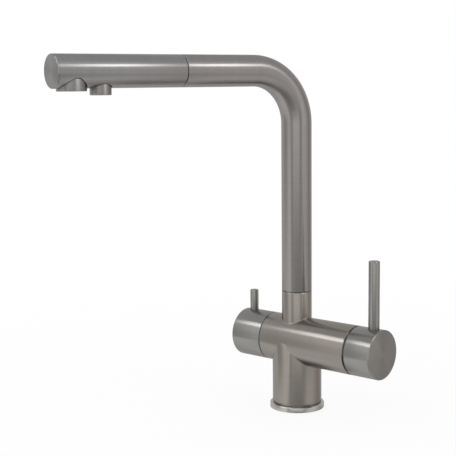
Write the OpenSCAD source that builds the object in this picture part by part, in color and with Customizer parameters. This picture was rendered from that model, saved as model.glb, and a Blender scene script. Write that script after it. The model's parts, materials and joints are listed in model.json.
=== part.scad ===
// Kitchen mixer tap with a second, filtered-water way.
// A pillar carries a cross barrel, with the mixer handle on its right and the filter handle on its left.
// An angled tube swivels on the neck, and its front half is a pull-out head with two outlets.
// The origin is the centre of the foot on the worktop, +Z is up and the user stands at -Y.

/* [Foot] */
// Reach of the base ring past the pillar
base_ring_lip = 2.5; // [2:0.1:6]
// Height of the base ring
base_ring_h = 5; // [4:0.5:8]
// Chamfer round the base ring's upper edge
base_ring_chamfer = 0.8; // [0.3:0.1:1.5]
// Width of the rubber ring under the base ring
gasket_w = 2; // [1.4:0.1:2.4]
// Height of the rubber ring under the base ring
gasket_h = 1.5; // [1:0.1:2.5]
// Height of the shadow gap between base ring and pillar
foot_gap_h = 0.6; // [0.3:0.1:1]
// Depth of the shadow gap between base ring and pillar
foot_gap_depth = 0.8; // [0.4:0.1:1.2]
// Step from the pillar down to the spigot inside the base ring
foot_step = 1.7; // [1.4:0.1:2]
// Diameter of the recess under the foot
foot_recess_d = 39; // [38:0.5:40]
// Depth of the recess under the foot
foot_recess_depth = 14; // [10:1:20]
// Core diameter of the five tapped supply ports, M8 x 1
port_core_d = 7; // [6:0.1:7.4]
// Depth of the tapped supply ports
port_depth = 10; // [8:1:12]
// Core diameter of the two tapped stud holes, M6
stud_core_d = 5; // [4.2:0.1:6]
// Depth of the two stud holes
stud_depth = 12; // [8:1:16]
// Distance of ports and stud holes from the tap's axis
port_circle_r = 14.4; // [14.2:0.1:15]
// Angle from the mixer end to the hot port, in degrees
hot_angle = 40; // [38:1:44]
// Angle from the mixer end to the filter's ports, in degrees
filter_angle = 128; // [125:1:132]

/* [Body] */
// Diameter of the pillar
pillar_d = 46; // [45:0.5:50]
// Diameter of the cross barrel and of both handle caps
barrel_d = 45; // [44:0.5:48]
// Height of the barrel's axis above the worktop
barrel_z = 64; // [56:1:74]
// Reach of the barrel from the tap's axis to its mixer end
mixer_end_x = 68; // [67:0.5:74]
// Reach of the barrel from the tap's axis to its filter end
filter_end_x = 27.8; // [26:0.1:32]
// Height of the neck's top edge
neck_top_z = 111.2; // [108:0.1:125]
// Land between the barrel's rim and its domed end
rim_land = 0.3; // [0.2:0.05:0.5]
// Diameter of the waterways to the mixer cartridge
mixer_way_d = 5; // [4:0.1:5.5]
// Diameter of the waterways to the filter valve
filter_way_d = 3.4; // [3:0.1:3.8]

/* [Spout] */
// Outer diameter of the spout tube and the pull-out head
tube_d = 28; // [27.5:0.1:30]
// Wall of the spout tube and of the head's shell
tube_wall = 2; // [1.6:0.1:2.1]
// Height of the arm's axis above the worktop
arm_z = 315; // [280:1:360]
// Radius of the bend's centre line
bend_r = 48; // [40:1:60]
// Distance from the tap's axis to the end of the fixed arm
arm_end_s = 122.5; // [118:0.5:130]
// Turn of the spout at rest, seen from above
spout_rest = -15; // [-40:1:40]
// Whole swivel of the spout between its stops
swivel_range = 140; // [90:5:160]

/* [Swivel] */
// Length of the swivel spigot inside the tube
spigot_len = 36; // [34:1:44]
// Length of the swivel spigot inside the neck
spigot_root = 19; // [14:1:24]
// Radial gap between the spigot and the tube
spigot_gap = 0.6; // [0.4:0.05:0.8]
// Step from the spigot down to its end in the neck
spigot_step = 0.85; // [0.5:0.05:1]
// Land beyond the outer groove at each end of the spigot
spigot_land = 2.2; // [1.5:0.1:3]
// Land between two grooves of the spigot
groove_land = 1.3; // [1:0.1:2]
// Height of each glide ring
glide_h = 5.8; // [4:0.1:7]
// Thickness of each glide ring
glide_t = 1.35; // [1.2:0.05:1.5]
// Play of a glide ring along its groove
glide_play = 0.2; // [0.1:0.05:0.4]
// Section diameter of the swivel's sealing rings
swivel_ring_d = 1.7; // [1.4:0.1:1.8]
// Play of a sealing ring along its groove
seal_play = 0.5; // [0.3:0.1:0.8]
// Gap between a sealing ring and the wall it wipes
seal_gap = 0.1; // [0.02:0.01:0.15]
// Thickness of the washer in the neck seam
washer_t = 0.6; // [0.4:0.1:1]
// Diameter of the grub screw that stops the spout
stop_screw_d = 4; // [3:0.5:5]
// Distance of the stop screw's head inside the tube's surface
stop_screw_sink = 0.2; // [0.1:0.05:0.4]
// Distance from the stop screw's tip to its socket
stop_socket_at = 1.4; // [1:0.1:1.6]
// Depth of the slot that the stop screw runs in
stop_slot_depth = 1.25; // [1:0.05:1.3]

/* [Pull-out head] */
// Gap between the arm and the head
seam_gap = 0.5; // [0.4:0.1:1]
// Distance from the tap's axis to the head's tip
tip_s = 242.5; // [242:0.5:260]
// Thickness of the plate that closes the tip
end_plate_t = 1.2; // [1:0.1:2]
// Chamfer round the tip
tip_chamfer = 0.5; // [0.2:0.1:0.8]
// Length of the end plate's plug inside the head
plate_plug_len = 2.4; // [2:0.1:3]
// Distance from the head's tip back to the middle of the main outlet
main_outlet_inset = 17.5; // [16.4:0.1:18.5]
// Outer diameter of the main outlet's collar
main_nozzle_d = 25; // [24:0.1:25.2]
// Drop of the main outlet's lower face below the arm's axis
main_nozzle_drop = 16.2; // [16:0.1:18]
// Distance between the middles of the two outlets
outlet_spacing = 26; // [23:0.5:30]
// Outer diameter of the filter nozzle
filter_nozzle_d = 18; // [16:0.1:19]
// Drop of the filter nozzle's lower face below the arm's axis
filter_nozzle_drop = 19.6; // [18:0.1:22]
// Gap round each outlet where it leaves the head
nozzle_gap = 0.3; // [0.2:0.05:0.4]
// Reach of the head's openings past the outlets' shoulders
shell_cut = 0.6; // [0.4:0.1:0.8]
// Rise of the main outlet's shoulder into the head's wall
main_shoulder = 0.3; // [0.2:0.1:0.5]
// Rise of the filter nozzle's shoulder into the head's wall
filter_shoulder = 0.7; // [0.5:0.1:0.9]
// Gap above an outlet's neck
neck_room = 0.2; // [0.1:0.05:0.3]
// Radius of the main outlet's threaded neck
main_neck_r = 9; // [8.5:0.1:9.5]
// Length of the main outlet's threaded neck
main_neck_len = 4; // [3:0.1:4.4]
// Wall of the main outlet's collar
main_cup_wall = 2.1; // [1.8:0.1:2.2]
// Depth of the cup in the main outlet
main_cup_depth = 7.6; // [7:0.1:8]
// Radius of the filter nozzle's threaded neck
filter_neck_r = 6; // [5.8:0.1:6.4]
// Length of the filter nozzle's threaded neck
filter_neck_len = 2.6; // [2.2:0.1:2.8]
// Wall of the filter nozzle's cup
filter_cup_wall = 2.4; // [2:0.1:2.5]
// Depth of the cup in the filter nozzle
filter_cup_depth = 7.6; // [7:0.1:8]
// Wall of an outlet's threaded neck
main_neck_wall = 2; // [1.6:0.1:2.2]
// Wall of the filter nozzle's threaded neck
filter_neck_wall = 2.6; // [2.2:0.1:2.8]
// Thickness of the washer above a flow former
washer_h = 1; // [0.8:0.1:1.2]
// Distance of a flow former inside its outlet's face
lip = 0.5; // [0.3:0.1:0.8]
// Radius of the holes in the main flow former
jet_r = 0.9; // [0.7:0.05:0.95]
// Distance of the outer ring of holes inside the flow former's edge
jet_inset = 3; // [2.8:0.1:3.2]
// Distance between the two rings of holes in the flow former
jet_row_step = 3.5; // [3:0.1:3.8]
// Rim of the flow former round its screen
screen_rim = 1.3; // [1:0.1:1.6]
// Depth of the screen's pocket
screen_pocket = 3; // [2.6:0.1:3.4]
// Thickness of the main screen
screen_t = 2.8; // [2:0.1:2.8]
// Distance between the rings of holes in the main screen
screen_pitch = 2.6; // [2.2:0.1:2.7]
// Radius of the holes in the main screen
screen_hole_r = 0.75; // [0.6:0.05:0.85]
// Radius of the holes in the filter's insert
insert_hole_r = 0.7; // [0.5:0.05:0.8]
// Distance between the rings of holes in the filter's insert
insert_pitch = 2.2; // [1.8:0.1:2.3]
// Length of the head's tail inside the arm
tail_len = 19; // [16:0.5:22]
// Step from the head's core down to its tail
tail_step = 1.4; // [1.3:0.05:1.6]
// Distance from the tail's end to its sealing ring
docking_seal_at = 8; // [7:0.5:10]
// Section radius of the head's sealing ring
seal_section_r = 0.7; // [0.6:0.05:0.8]
// Length of the core past the main outlet's middle
core_past = 11; // [10.5:0.1:11.5]
// Length of the check valve
valve_len = 13; // [11:0.5:15]
// Radius of the main way's pocket in the tail
way_pocket_r = 5; // [4.8:0.05:5.2]
// Radius of the filter way's pocket in the tail
line_pocket_r = 2.75; // [2.6:0.05:2.8]
// Radius of the three ways through the check valve
check_way_r = 1.3; // [1:0.05:1.4]
// Distance of the check valve's ways from its middle
check_way_at = 2.5; // [2.2:0.1:2.8]
// Step from the main waterway out to its drop into the outlet
main_drop_step = 0.5; // [0.3:0.1:0.8]
// Radius of the main waterway in the head
main_way_r = 3.5; // [3:0.1:3.8]
// Radius of the filter waterway in the head
line_way_r = 1.9; // [1.6:0.1:2]

/* [Hoses] */
// Outer diameter of the main hose
hose_d = 11; // [10:0.1:11.2]
// Bore of the main hose
hose_bore = 7.8; // [6.5:0.1:8.2]
// Outer diameter of the filter tube
line_d = 5; // [4.5:0.1:5.2]
// Bore of the filter tube
line_bore = 3.2; // [2.8:0.1:3.4]
// Distance past the bend where the hoses are parted for the pull-out
hose_start = 2; // [1:0.5:4]
// Space between the two hoses
hose_gap = 0.8; // [0.6:0.1:1]
// Wall of the crimped ferrules
ferrule_wall = 0.35; // [0.2:0.05:0.4]
// Length of the ferrules and of the barbs in the hoses
barb_len = 12; // [9:0.5:14]
// Length of the hose ends' collars behind the head
connector_len = 7; // [5:0.5:9]
// Length of the hose ends inside the head
insert_len = 6; // [5:0.5:7]
// Length of the plug below the main hose
plug_len = 9.5; // [8:0.5:12]
// Distance of the hoses' lower ends above the foot's recess
plug_rise = 0.5; // [0.3:0.1:1]
// Width of the plug's collar below the hose
plug_collar_w = 2; // [1.5:0.1:2.5]
// Distance from the plug's lower end to its groove
plug_groove_at = 3; // [2:0.1:4]
// Width of the plug's groove for a sealing ring
plug_groove_w = 1.6; // [1.2:0.1:2]
// Depth of the plug's groove for a sealing ring
plug_groove_depth = 0.5; // [0.3:0.05:0.6]
// Wall of the barbs in the main hose
barb_wall = 1; // [0.8:0.1:1.2]
// Wall of the barb in the filter tube
line_barb_wall = 0.6; // [0.4:0.05:0.7]
// Step from the main hose in to its connector's collar
hose_collar_step = 0.2; // [0.1:0.1:0.5]
// Step from the filter tube out to its connector's collar
line_collar_step = 0.5; // [0.3:0.1:0.6]

/* [Mixer handle] */
// Length of the mixer cap along the barrel
mixer_cap_len = 26.5; // [24:0.5:34]
// Distance from the mixer cap's end face to its lever pin
mixer_pin_inset = 9.4; // [8:0.1:11]
// Diameter of the mixer's lever pin
mixer_pin_d = 10; // [8:0.5:11]
// Height of the mixer's lever pin above the cap
mixer_pin_len = 61; // [40:1:90]
// Gap between the domed barrel end and the mixer cap
dome_gap = 1; // [0.8:0.05:1.3]
// Distance from the barrel's mixer end back to the handle's pivot
pivot_depth = 20.4; // [20:0.1:21]
// Lift of the mixer handle from closed to full flow
lift_range = 20; // [15:1:21]
// Diameter of the thread under the mixer's lever pin
mixer_thread_d = 6; // [5:0.5:7]
// Depth that the mixer's lever pin sits in the cap
mixer_pin_sink = 3; // [2:0.1:3.4]
// Length of the mixer cap's grub screw
grub_len = 7.5; // [6:0.5:8]
// Radius of the boss inside the mixer cap
mixer_boss_r = 8; // [7.6:0.1:8.4]
// Land of the mixer cap's rim
cap_land = 0.35; // [0.2:0.05:0.5]
// Gap left between a lever pin's thread and its grub screw
grub_gap = 0.2; // [0.1:0.1:0.5]
// Wall that covers a cap's bore at its end face
cap_end_t = 5; // [4:0.1:5.5]
// Cover over the end of a stem or spindle
stem_cover = 5.5; // [5:0.1:6]

/* [Filter handle] */
// Gap between the barrel and the filter cap
filter_gap = 0.8; // [0.5:0.1:1.2]
// Length of the filter cap along the barrel
filter_cap_len = 33.3; // [32:0.1:40]
// Distance from the filter cap's end face to its lever pin
filter_pin_inset = 9.6; // [9:0.1:11]
// Diameter of the filter's lever pin
filter_pin_d = 8; // [7:0.5:9]
// Height of the filter's lever pin above the cap
filter_pin_len = 19.5; // [15:0.5:40]
// Diameter of the thread under the filter's lever pin
filter_thread_d = 5; // [4:0.5:6]
// Depth that the filter's lever pin sits in the cap
filter_pin_sink = 2.5; // [2:0.1:2.9]
// Length of the filter cap's grub screw
filter_grub_len = 6.5; // [5.5:0.5:7]
// Radius of the boss inside the filter cap
filter_boss_r = 8; // [7.6:0.1:8.4]
// Chamfer round the end of both caps and both pins
edge_chamfer = 0.5; // [0.3:0.1:0.8]
// Wall of both handle caps
cap_wall = 3; // [2.5:0.1:3.5]
// Wall round a lever pin's seat
pin_wall = 2; // [1.5:0.1:2.2]

/* [Mixer cartridge] */
// Diameter of the cartridge
cartridge_d = 35; // [34.6:0.1:35.4]
// Distance from the tap's axis to the cartridge's seat
cartridge_seat_x = 19; // [18.6:0.1:19.5]
// Thickness of the cartridge's base
cartridge_base_t = 6; // [5:0.1:6.2]
// Rim of the cartridge's housing round the fixed ceramic disc
fixed_disc_rim = 3.9; // [3.4:0.1:4.4]
// Thickness of the fixed ceramic disc
fixed_disc_t = 3.5; // [3:0.1:3.6]
// Wall of the cartridge's housing
housing_wall = 1.8; // [1.6:0.1:2.2]
// Thickness of the sliding ceramic disc
moving_disc_t = 3; // [2.6:0.1:3.1]
// Film between two ground ceramic discs
disc_film = 0.02; // [0.02:0.01:0.05]
// Radius of the ways through the ceramic discs
disc_way_r = 2.2; // [1.8:0.1:2.3]
// Radius of the cup in the sliding disc
disc_cup_r = 7.6; // [7:0.1:8]
// Drop of the sliding disc's cup below its axis
disc_cup_down = 4.6; // [4:0.1:5]
// Rim left round the sliding disc's cup
disc_rim = 1.3; // [1:0.1:1.6]
// Distance of the inlets in the disc to each side
inlet_y = 7.2; // [6.8:0.1:7.4]
// Height of the inlets above the barrel's axis
inlet_up = 3.5; // [3:0.1:3.8]
// Drop of the outlet below the barrel's axis
outlet_down = 6.5; // [6:0.1:7]
// Width of the cartridge's port seals
cartridge_seal_w = 1.9; // [1.4:0.1:2]
// Thickness of the cartridge's port seals
cartridge_seal_t = 1.5; // [1.2:0.1:2]
// Gap round the cartridge in its bore
cartridge_fit = 0.1; // [0.05:0.05:0.15]
// Distance from the handle's pivot to the centre of the stem's ball
stem_arm = 12; // [11.8:0.05:12.2]
// Diameter of the stem's ball
stem_ball_d = 5.2; // [4.8:0.1:5.4]
// Length of the slider past the stem's ball
slider_cover = 1.4; // [1.2:0.1:1.8]
// Radius of the stem's boss on its pivot pin
stem_boss_r = 4.6; // [4.2:0.1:4.8]
// Radius of the stem's neck above the ball
stem_neck_r = 1.8; // [1.5:0.1:1.9]
// Width of the square stem
stem_w = 6.8; // [6:0.1:7]
// Diameter of the cartridge's pivot pin
pivot_pin_d = 3; // [2.5:0.1:3.5]
// Distance of the pivot pin's ends inside the guide's neck
pivot_pin_inset = 1; // [0.5:0.1:1.5]
// Thickness of the stem guide's flange
guide_flange_t = 3; // [2.4:0.1:3.2]
// Radius of the stem guide's neck
guide_neck_r = 11; // [10.8:0.1:11.4]
// Height of the slot for the stem in its guide
guide_slot_h = 18; // [17:0.5:18.5]
// Length of the stem guide past the pivot
guide_tail = 4.4; // [3:0.1:4.6]
// Room between the sliding disc and the housing
disc_room = 0.7; // [0.5:0.1:1]
// Thickness of the housing's lid
housing_lid_t = 3.4; // [3:0.1:3.6]
// Length of the ring nut that holds the cartridge
ring_nut_len = 10; // [8:0.5:11]
// Depth of the thread that the ring nut turns in
nut_thread_h = 1.7; // [1.2:0.1:1.8]
// Gap between the ring nut and the stem guide
nut_gap = 1.2; // [0.8:0.1:1.6]
// Width of the wrench slots in the ring nut
nut_slot_w = 3; // [2.5:0.5:4]
// Thickness of the domed ring's shell
dome_t = 2.5; // [2:0.1:3]
// Wall of the domed ring's thread
dome_wall = 1.4; // [1.2:0.1:1.8]
// Room round the tilted stem in the domed ring
stem_room = 1.6; // [1.2:0.1:2]

/* [Filter valve] */
// Distance from the tap's axis to the valve's seat
valve_seat_x = 12.6; // [12.2:0.1:12.8]
// Diameter of the valve's body inside the barrel
valve_d = 15.7; // [15:0.1:16.2]
// Diameter of the valve's spindle
spindle_d = 7; // [6:0.1:7.4]
// Thickness of each ceramic disc in the valve
valve_disc_t = 2.6; // [2.3:0.1:2.8]
// Width across the flats of the valve's hexagon
valve_hex = 19; // [17:0.5:21]
// Length of the valve's hexagon
valve_hex_len = 5.5; // [4:0.5:6]
// Length of the valve's neck past its hexagon
valve_neck_len = 6.5; // [6:0.1:7.5]
// Radius of the valve's neck
valve_neck_r = 7.5; // [7:0.1:7.8]
// Wall of the valve's cage
valve_wall = 1.6; // [1.4:0.1:1.8]
// Thickness of the valve's seat seal
seat_seal_t = 1.4; // [1.2:0.1:1.8]
// Width of the valve's seat seal
seat_seal_w = 1.5; // [1.2:0.1:1.8]
// Distance from the seat to the valve's body
valve_gap = 1; // [0.8:0.1:1.2]
// Thickness of the dog that turns the valve's disc
dog_t = 2; // [1.6:0.1:2.4]
// Radius of the notches in the dog
dog_notch_r = 2.4; // [2:0.1:2.6]
// Radius of the outlets in the valve's cage
valve_window_r = 1.7; // [1.4:0.1:1.8]
// Radius of the two ways through the valve's discs
valve_way_r = 1.7; // [1.4:0.1:1.8]
// Distance of the two ways from the valve's axis
valve_way_y = 3.1; // [2.8:0.1:3.3]
// Radius of the chamber round the valve
chamber_r = 11.5; // [10.5:0.1:12.5]
// Overrun of the filter's inlet drilling past the valve's seat
valve_inlet_run = 0.4; // [0.2:0.1:0.8]
// Distance of the inlet drilling's end inside the valve's wall
valve_inlet_in = 2.4; // [2:0.1:3]
// Width of the chamber round the valve
chamber_w = 3.8; // [3.4:0.1:4]
// Section radius of the spindle's sealing ring
spindle_ring_r = 0.38; // [0.3:0.01:0.42]
// Depth of the groove for the spindle's sealing ring
spindle_groove = 0.75; // [0.7:0.01:0.85]
// Thickness of the spindle's clip
clip_t = 1; // [0.8:0.1:1.2]
// Reach of the spindle's clip past the spindle
clip_reach = 1.6; // [1.2:0.1:2]
// Depth of the groove for the spindle's clip
clip_groove = 0.6; // [0.5:0.05:0.8]
// Width of the spindle clip's mouth
clip_mouth = 2.4; // [2:0.1:3]

/* [Fits] */
// Radial gap of a thread or a seat inside one assembly
seat_fit = 0.05; // [0.03:0.01:0.1]
// Radial gap of a turning or sliding fit
run_fit = 0.07; // [0.03:0.01:0.1]
// Gap between moving pieces that don't guide each other
free_gap = 0.3; // [0.25:0.05:0.4]

/* [Hidden] */
$fn = 96;

steel = [0.52, 0.50, 0.48];
bright_steel = [0.75, 0.75, 0.76];
brass = [0.80, 0.64, 0.30];
black_rubber = [0.08, 0.08, 0.08];
dark_plastic = [0.15, 0.15, 0.16];
white_plastic = [0.88, 0.88, 0.86];
grey_plastic = [0.55, 0.56, 0.58];
white_ceramic = [0.95, 0.94, 0.90];
braid_grey = [0.38, 0.39, 0.41];
blue_plastic = [0.25, 0.42, 0.70];

// Overrun of a cut past the face it opens
over = 1;

// Radii of the main tubes
tube_r = tube_d / 2;
tube_in = tube_r - tube_wall;
pillar_r = pillar_d / 2;
barrel_r = barrel_d / 2;

// The two hoses lie side by side and fill one round bundle
hose_r = hose_d / 2;
line_r = line_d / 2;
bundle_r = (hose_d + line_d + hose_gap) / 2;
hose_off = bundle_r - hose_r;
line_off = line_r - bundle_r;
ferrule_r = hose_r + seat_fit + ferrule_wall;
passage_r = hose_off + ferrule_r + free_gap;
barb_r = hose_bore / 2 - seat_fit;
line_barb_r = line_bore / 2 - seat_fit;

// Foot
base_ring_d = pillar_d + 2 * base_ring_lip;
foot_spigot_r = pillar_r - foot_step;
ring_in = foot_spigot_r + seat_fit;
pillar_foot_z = base_ring_h + foot_gap_h;
gasket_mid_r = (ring_in + base_ring_d / 2) / 2;
port_top_z = foot_recess_depth + port_depth;

// Neck and swivel
spigot_r = tube_in - spigot_gap;
spigot_root_r = spigot_r - spigot_step;
glide_groove_r = tube_in - run_fit - glide_t - seat_fit;
tube_foot_z = neck_top_z + washer_t;
bend_foot_z = arm_z - bend_r;
glide_groove_h = glide_h + glide_play;
lower_glide_z = neck_top_z + spigot_land;
upper_glide_z = neck_top_z + spigot_len - glide_groove_h - spigot_land;
seal_groove_r = tube_in - seal_gap - swivel_ring_d;
seal_groove_h = swivel_ring_d + seal_play;
lower_seal_z = lower_glide_z + glide_groove_h + groove_land;
upper_seal_z = upper_glide_z - seal_groove_h - groove_land;
stop_slot_h = stop_screw_d + 2 * free_gap;
stop_z = (lower_seal_z + seal_groove_h + upper_seal_z) / 2;
stop_slot_r = spigot_r - stop_slot_depth;
stop_side_angle = asin((stop_screw_d / 2 + free_gap / 2) / spigot_r);
stop_slot_sweep = swivel_range + 2 * stop_side_angle;

// Mixer cartridge, by distance from the tap's axis along +X
cavity_r = cartridge_d / 2 + cartridge_fit;
housing_r = cartridge_d / 2 - cartridge_fit;
fixed_disc_r = housing_r - fixed_disc_rim;
housing_in = housing_r - housing_wall;
moving_disc_r = housing_in - stem_arm * sin(lift_range) - disc_room;
fixed_disc_x = cartridge_seat_x + cartridge_base_t;
moving_disc_x = fixed_disc_x + fixed_disc_t + disc_film;
slider_x = moving_disc_x + moving_disc_t;
pivot_x = mixer_end_x - pivot_depth;
ball_x = pivot_x - stem_arm;
slider_end_x = ball_x + slider_cover;
guide_x = slider_end_x + free_gap;
guide_flange_r = housing_in - free_gap;
housing_top_x = guide_x + guide_flange_t + free_gap;
nut_x = housing_top_x + housing_lid_t;
nut_thread_r = cartridge_d / 2 + nut_thread_h;
nut_in = guide_neck_r + nut_gap;
domed_ring_x = nut_x + ring_nut_len;
guide_end_x = pivot_x + guide_tail;
guide_slot_w = stem_w + 2 * free_gap;
dome_r = norm([pivot_depth, barrel_r]);
cap_dome_r = dome_r + dome_gap;
stem_hole_r = dome_r * sin(lift_range) + stem_w / 2 + stem_room;
dome_wall_end_x = pivot_x + sqrt(pow(dome_r - dome_t, 2) - pow(nut_thread_r, 2)) + dome_t / 2;
ball_socket_r = stem_ball_d / 2 + free_gap;
mixer_body_inlet_y = port_circle_r * sin(hot_angle);
cartridge_seal_r = mixer_way_d / 2 + cartridge_seal_w;

// Mixer handle
mixer_cap_x = pivot_x + sqrt(pow(cap_dome_r, 2) - pow(barrel_r - cap_land, 2));
mixer_cap_end_x = mixer_cap_x + mixer_cap_len;
mixer_pin_x = mixer_cap_end_x - mixer_pin_inset;
stem_end_x = mixer_cap_end_x - stem_cover;
mixer_pin_seat = barrel_r - mixer_pin_sink;

// Filter valve and handle, by distance from the tap's axis along -X
valve_r = valve_d / 2;
valve_bore_r = valve_r + seat_fit;
valve_start_x = valve_seat_x + valve_gap;
valve_fixed_x = valve_seat_x + seat_seal_t;
valve_moving_x = valve_fixed_x + valve_disc_t + disc_film;
spindle_x = valve_moving_x + valve_disc_t;
valve_cage_r = valve_r - valve_wall;
valve_disc_r = valve_cage_r - 2 * seat_fit;
valve_cage_end = spindle_x + dog_t + free_gap;
valve_window_x = spindle_x + 2 * free_gap;
chamber_x = valve_window_x - chamber_w / 2;
valve_neck_x = filter_end_x + valve_hex_len;
valve_end_x = valve_neck_x + valve_neck_len;
spindle_groove_w = 2 * spindle_ring_r + free_gap;
spindle_ring_x = valve_end_x - valve_neck_len / 2;
filter_cap_x = filter_end_x + filter_gap;
filter_cap_end_x = filter_cap_x + filter_cap_len;
filter_pin_x = filter_cap_end_x - filter_pin_inset;
filter_boss_x = valve_end_x + clip_t + valve_gap;
spindle_end_x = filter_cap_end_x - stem_cover;
filter_pin_seat = barrel_r - filter_pin_sink;
socket_r = spindle_d / 2 + seat_fit;

// Pull-out head, by distance from the tap's axis along the arm
flange_t = seam_gap - 2 * seat_fit;
head_s = arm_end_s + seam_gap;
plate_s = tip_s - end_plate_t;
main_outlet_s = tip_s - main_outlet_inset;
filter_outlet_s = main_outlet_s - outlet_spacing;
core_r = tube_in - 2 * seat_fit;
tail_r = tube_in - tail_step;
bush_in = tail_r + run_fit;
bush_out = tube_in - seat_fit;
bush_len = tail_len - valve_gap;
tail_s = arm_end_s - tail_len;
core_step_s = head_s + 2 * seat_fit;
core_end_s = main_outlet_s + core_past;
hose_split_s = bend_r + hose_start;
connector_s = tail_s - connector_len;
check_valve_at = insert_len + valve_gap;
valve_pocket_len = check_valve_at + valve_len;
main_drop_r = main_way_r + main_drop_step;
main_hole_r = main_nozzle_d / 2 + nozzle_gap;
filter_hole_r = filter_nozzle_d / 2 + nozzle_gap;
main_nozzle_top = sqrt(pow(tube_r, 2) - pow(main_nozzle_d / 2, 2)) - main_shoulder;
filter_nozzle_top = sqrt(pow(tube_r, 2) - pow(filter_nozzle_d / 2, 2)) - filter_shoulder;
main_cup_r = main_nozzle_d / 2 - main_cup_wall;
filter_cup_r = filter_nozzle_d / 2 - filter_cup_wall;
aerator_r = main_cup_r - 3 * seat_fit;
insert_r = filter_cup_r - 2 * seat_fit;
docking_seal_s = tail_s + docking_seal_at;
docking_ring_r = tail_r + seat_fit - seal_section_r;
docking_groove_w = 2 * seal_section_r + seal_play;

// Foot end of the hoses
plug_z = foot_recess_depth + plug_rise;
hose_foot_z = plug_z + plug_len;

// Places a piece on the barrel's axis: its Z runs towards the mixer end and its Y stays up
module on_mixer(x) {
    translate([x, 0, barrel_z]) rotate([90, 0, 90]) children();
}

// Places a piece on the barrel's axis: its Z runs towards the filter end and its Y stays up
module on_filter(x) {
    translate([-x, 0, barrel_z]) rotate([90, 0, -90]) children();
}

// Places a piece on the arm's axis: its Z runs towards the tip and its Y stays up
module on_arm(s) {
    rotate([0, 0, spout_rest]) translate([0, -s, arm_z]) rotate([90, 0, 0]) children();
}

// Places a piece under the arm, upright, with its Z at a height relative to the arm's axis
module under_arm(s, height) {
    rotate([0, 0, spout_rest]) translate([0, -s, arm_z + height]) children();
}

// Ring with a flat section
module ring(r_out, r_in, h) {
    difference() {
        cylinder(r = r_out, h = h);
        translate([0, 0, -over]) cylinder(r = r_in, h = h + 2 * over);
    }
}

// Ring with a round section
module round_ring(mid_r, section_r) {
    rotate_extrude() translate([mid_r, 0]) circle(r = section_r, $fn = 32);
}

// Round bar with a chamfer at its far end
module chamfered_bar(r, h, chamfer) {
    cylinder(r = r, h = h - chamfer);
    translate([0, 0, h - chamfer]) cylinder(r1 = r, r2 = r - chamfer, h = chamfer);
}

// Straight drilling from one point to another
module drilling(a, b, r) {
    run = b - a;
    translate(a) rotate([0, acos(run[2] / norm(run)), atan2(run[1], run[0])])
        cylinder(r = r, h = norm(run));
}

// Point on the circle of ports
function port_point(angle, z) = [port_circle_r * cos(angle), port_circle_r * sin(angle), z];

// Tapped port in the foot, with its waterway up to a height
module port(angle, way_r, top_z) {
    drilling(port_point(angle, foot_recess_depth - over), port_point(angle, port_top_z), port_core_d / 2);
    drilling(port_point(angle, port_top_z - over), port_point(angle, top_z + way_r), way_r);
}

// Outline of the barrel's domed end, a ball about the handle's pivot
module pivot_ball(r) {
    on_mixer(pivot_x) sphere(r = r);
}

module body_outside() {
    translate([0, 0, pillar_foot_z]) cylinder(r = pillar_r, h = barrel_z - pillar_foot_z);
    cylinder(r = foot_spigot_r, h = pillar_foot_z + over);
    on_mixer(-filter_end_x) cylinder(r = barrel_r, h = filter_end_x + mixer_end_x);
    intersection() {
        on_mixer(pivot_x) cylinder(r = barrel_r - rim_land, h = dome_r);
        pivot_ball(dome_r);
    }
    translate([0, 0, barrel_z]) cylinder(r = tube_r, h = neck_top_z - barrel_z);
}

module mixer_waterways() {
    for (side = [-1, 1]) {
        level = barrel_z + inlet_up;
        port(side * hot_angle, mixer_way_d / 2, level);
        on_mixer(port_circle_r * cos(hot_angle)) translate([side * mixer_body_inlet_y, inlet_up, 0])
            cylinder(d = mixer_way_d, h = cartridge_seat_x);
    }
    port(0, mixer_way_d / 2, barrel_z - outlet_down);
    on_mixer(port_circle_r) translate([0, -outlet_down, 0])
        cylinder(d = mixer_way_d, h = cartridge_seat_x);
}

module filter_waterways() {
    inlet = port_point(filter_angle, barrel_z);
    port(filter_angle, filter_way_d / 2, barrel_z);
    port(-filter_angle, filter_way_d / 2, barrel_z);
    drilling(inlet, [-valve_seat_x - valve_inlet_run, valve_r - valve_inlet_in, barrel_z],
        filter_way_d / 2);
    on_filter(-inlet[0]) translate([inlet[1], 0, 0])
        cylinder(d = filter_way_d, h = chamber_x + chamber_w / 2 + inlet[0]);
}

module body() color(steel) difference() {
    body_outside();
    translate([0, 0, -over]) cylinder(r = passage_r, h = neck_top_z + 2 * over);
    translate([0, 0, -over]) cylinder(d = foot_recess_d, h = foot_recess_depth + over);
    translate([0, 0, neck_top_z - spigot_root])
        cylinder(r = spigot_root_r + seat_fit, h = spigot_root + over);
    for (side = [-1, 1])
        translate([0, side * port_circle_r, foot_recess_depth - over])
            cylinder(d = stud_core_d, h = stud_depth + over);
    on_mixer(cartridge_seat_x) cylinder(r = cavity_r, h = mixer_end_x);
    on_mixer(nut_x - over) cylinder(r = nut_thread_r + seat_fit, h = mixer_end_x);
    on_filter(valve_seat_x) cylinder(r = valve_bore_r, h = filter_end_x);
    on_filter(chamber_x) cylinder(r = chamber_r, h = chamber_w);
    mixer_waterways();
    filter_waterways();
}

module base_ring() color(steel) difference() {
    union() {
        chamfered_bar(base_ring_d / 2, base_ring_h, base_ring_chamfer);
        cylinder(r = pillar_r - foot_gap_depth, h = pillar_foot_z);
    }
    translate([0, 0, -over]) cylinder(r = ring_in, h = pillar_foot_z + 2 * over);
    translate([0, 0, -over])
        ring(gasket_mid_r + gasket_w / 2 + seat_fit, gasket_mid_r - gasket_w / 2 - seat_fit,
            gasket_h + over);
}

module base_gasket() color(black_rubber)
    ring(gasket_mid_r + gasket_w / 2, gasket_mid_r - gasket_w / 2, gasket_h);

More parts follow.
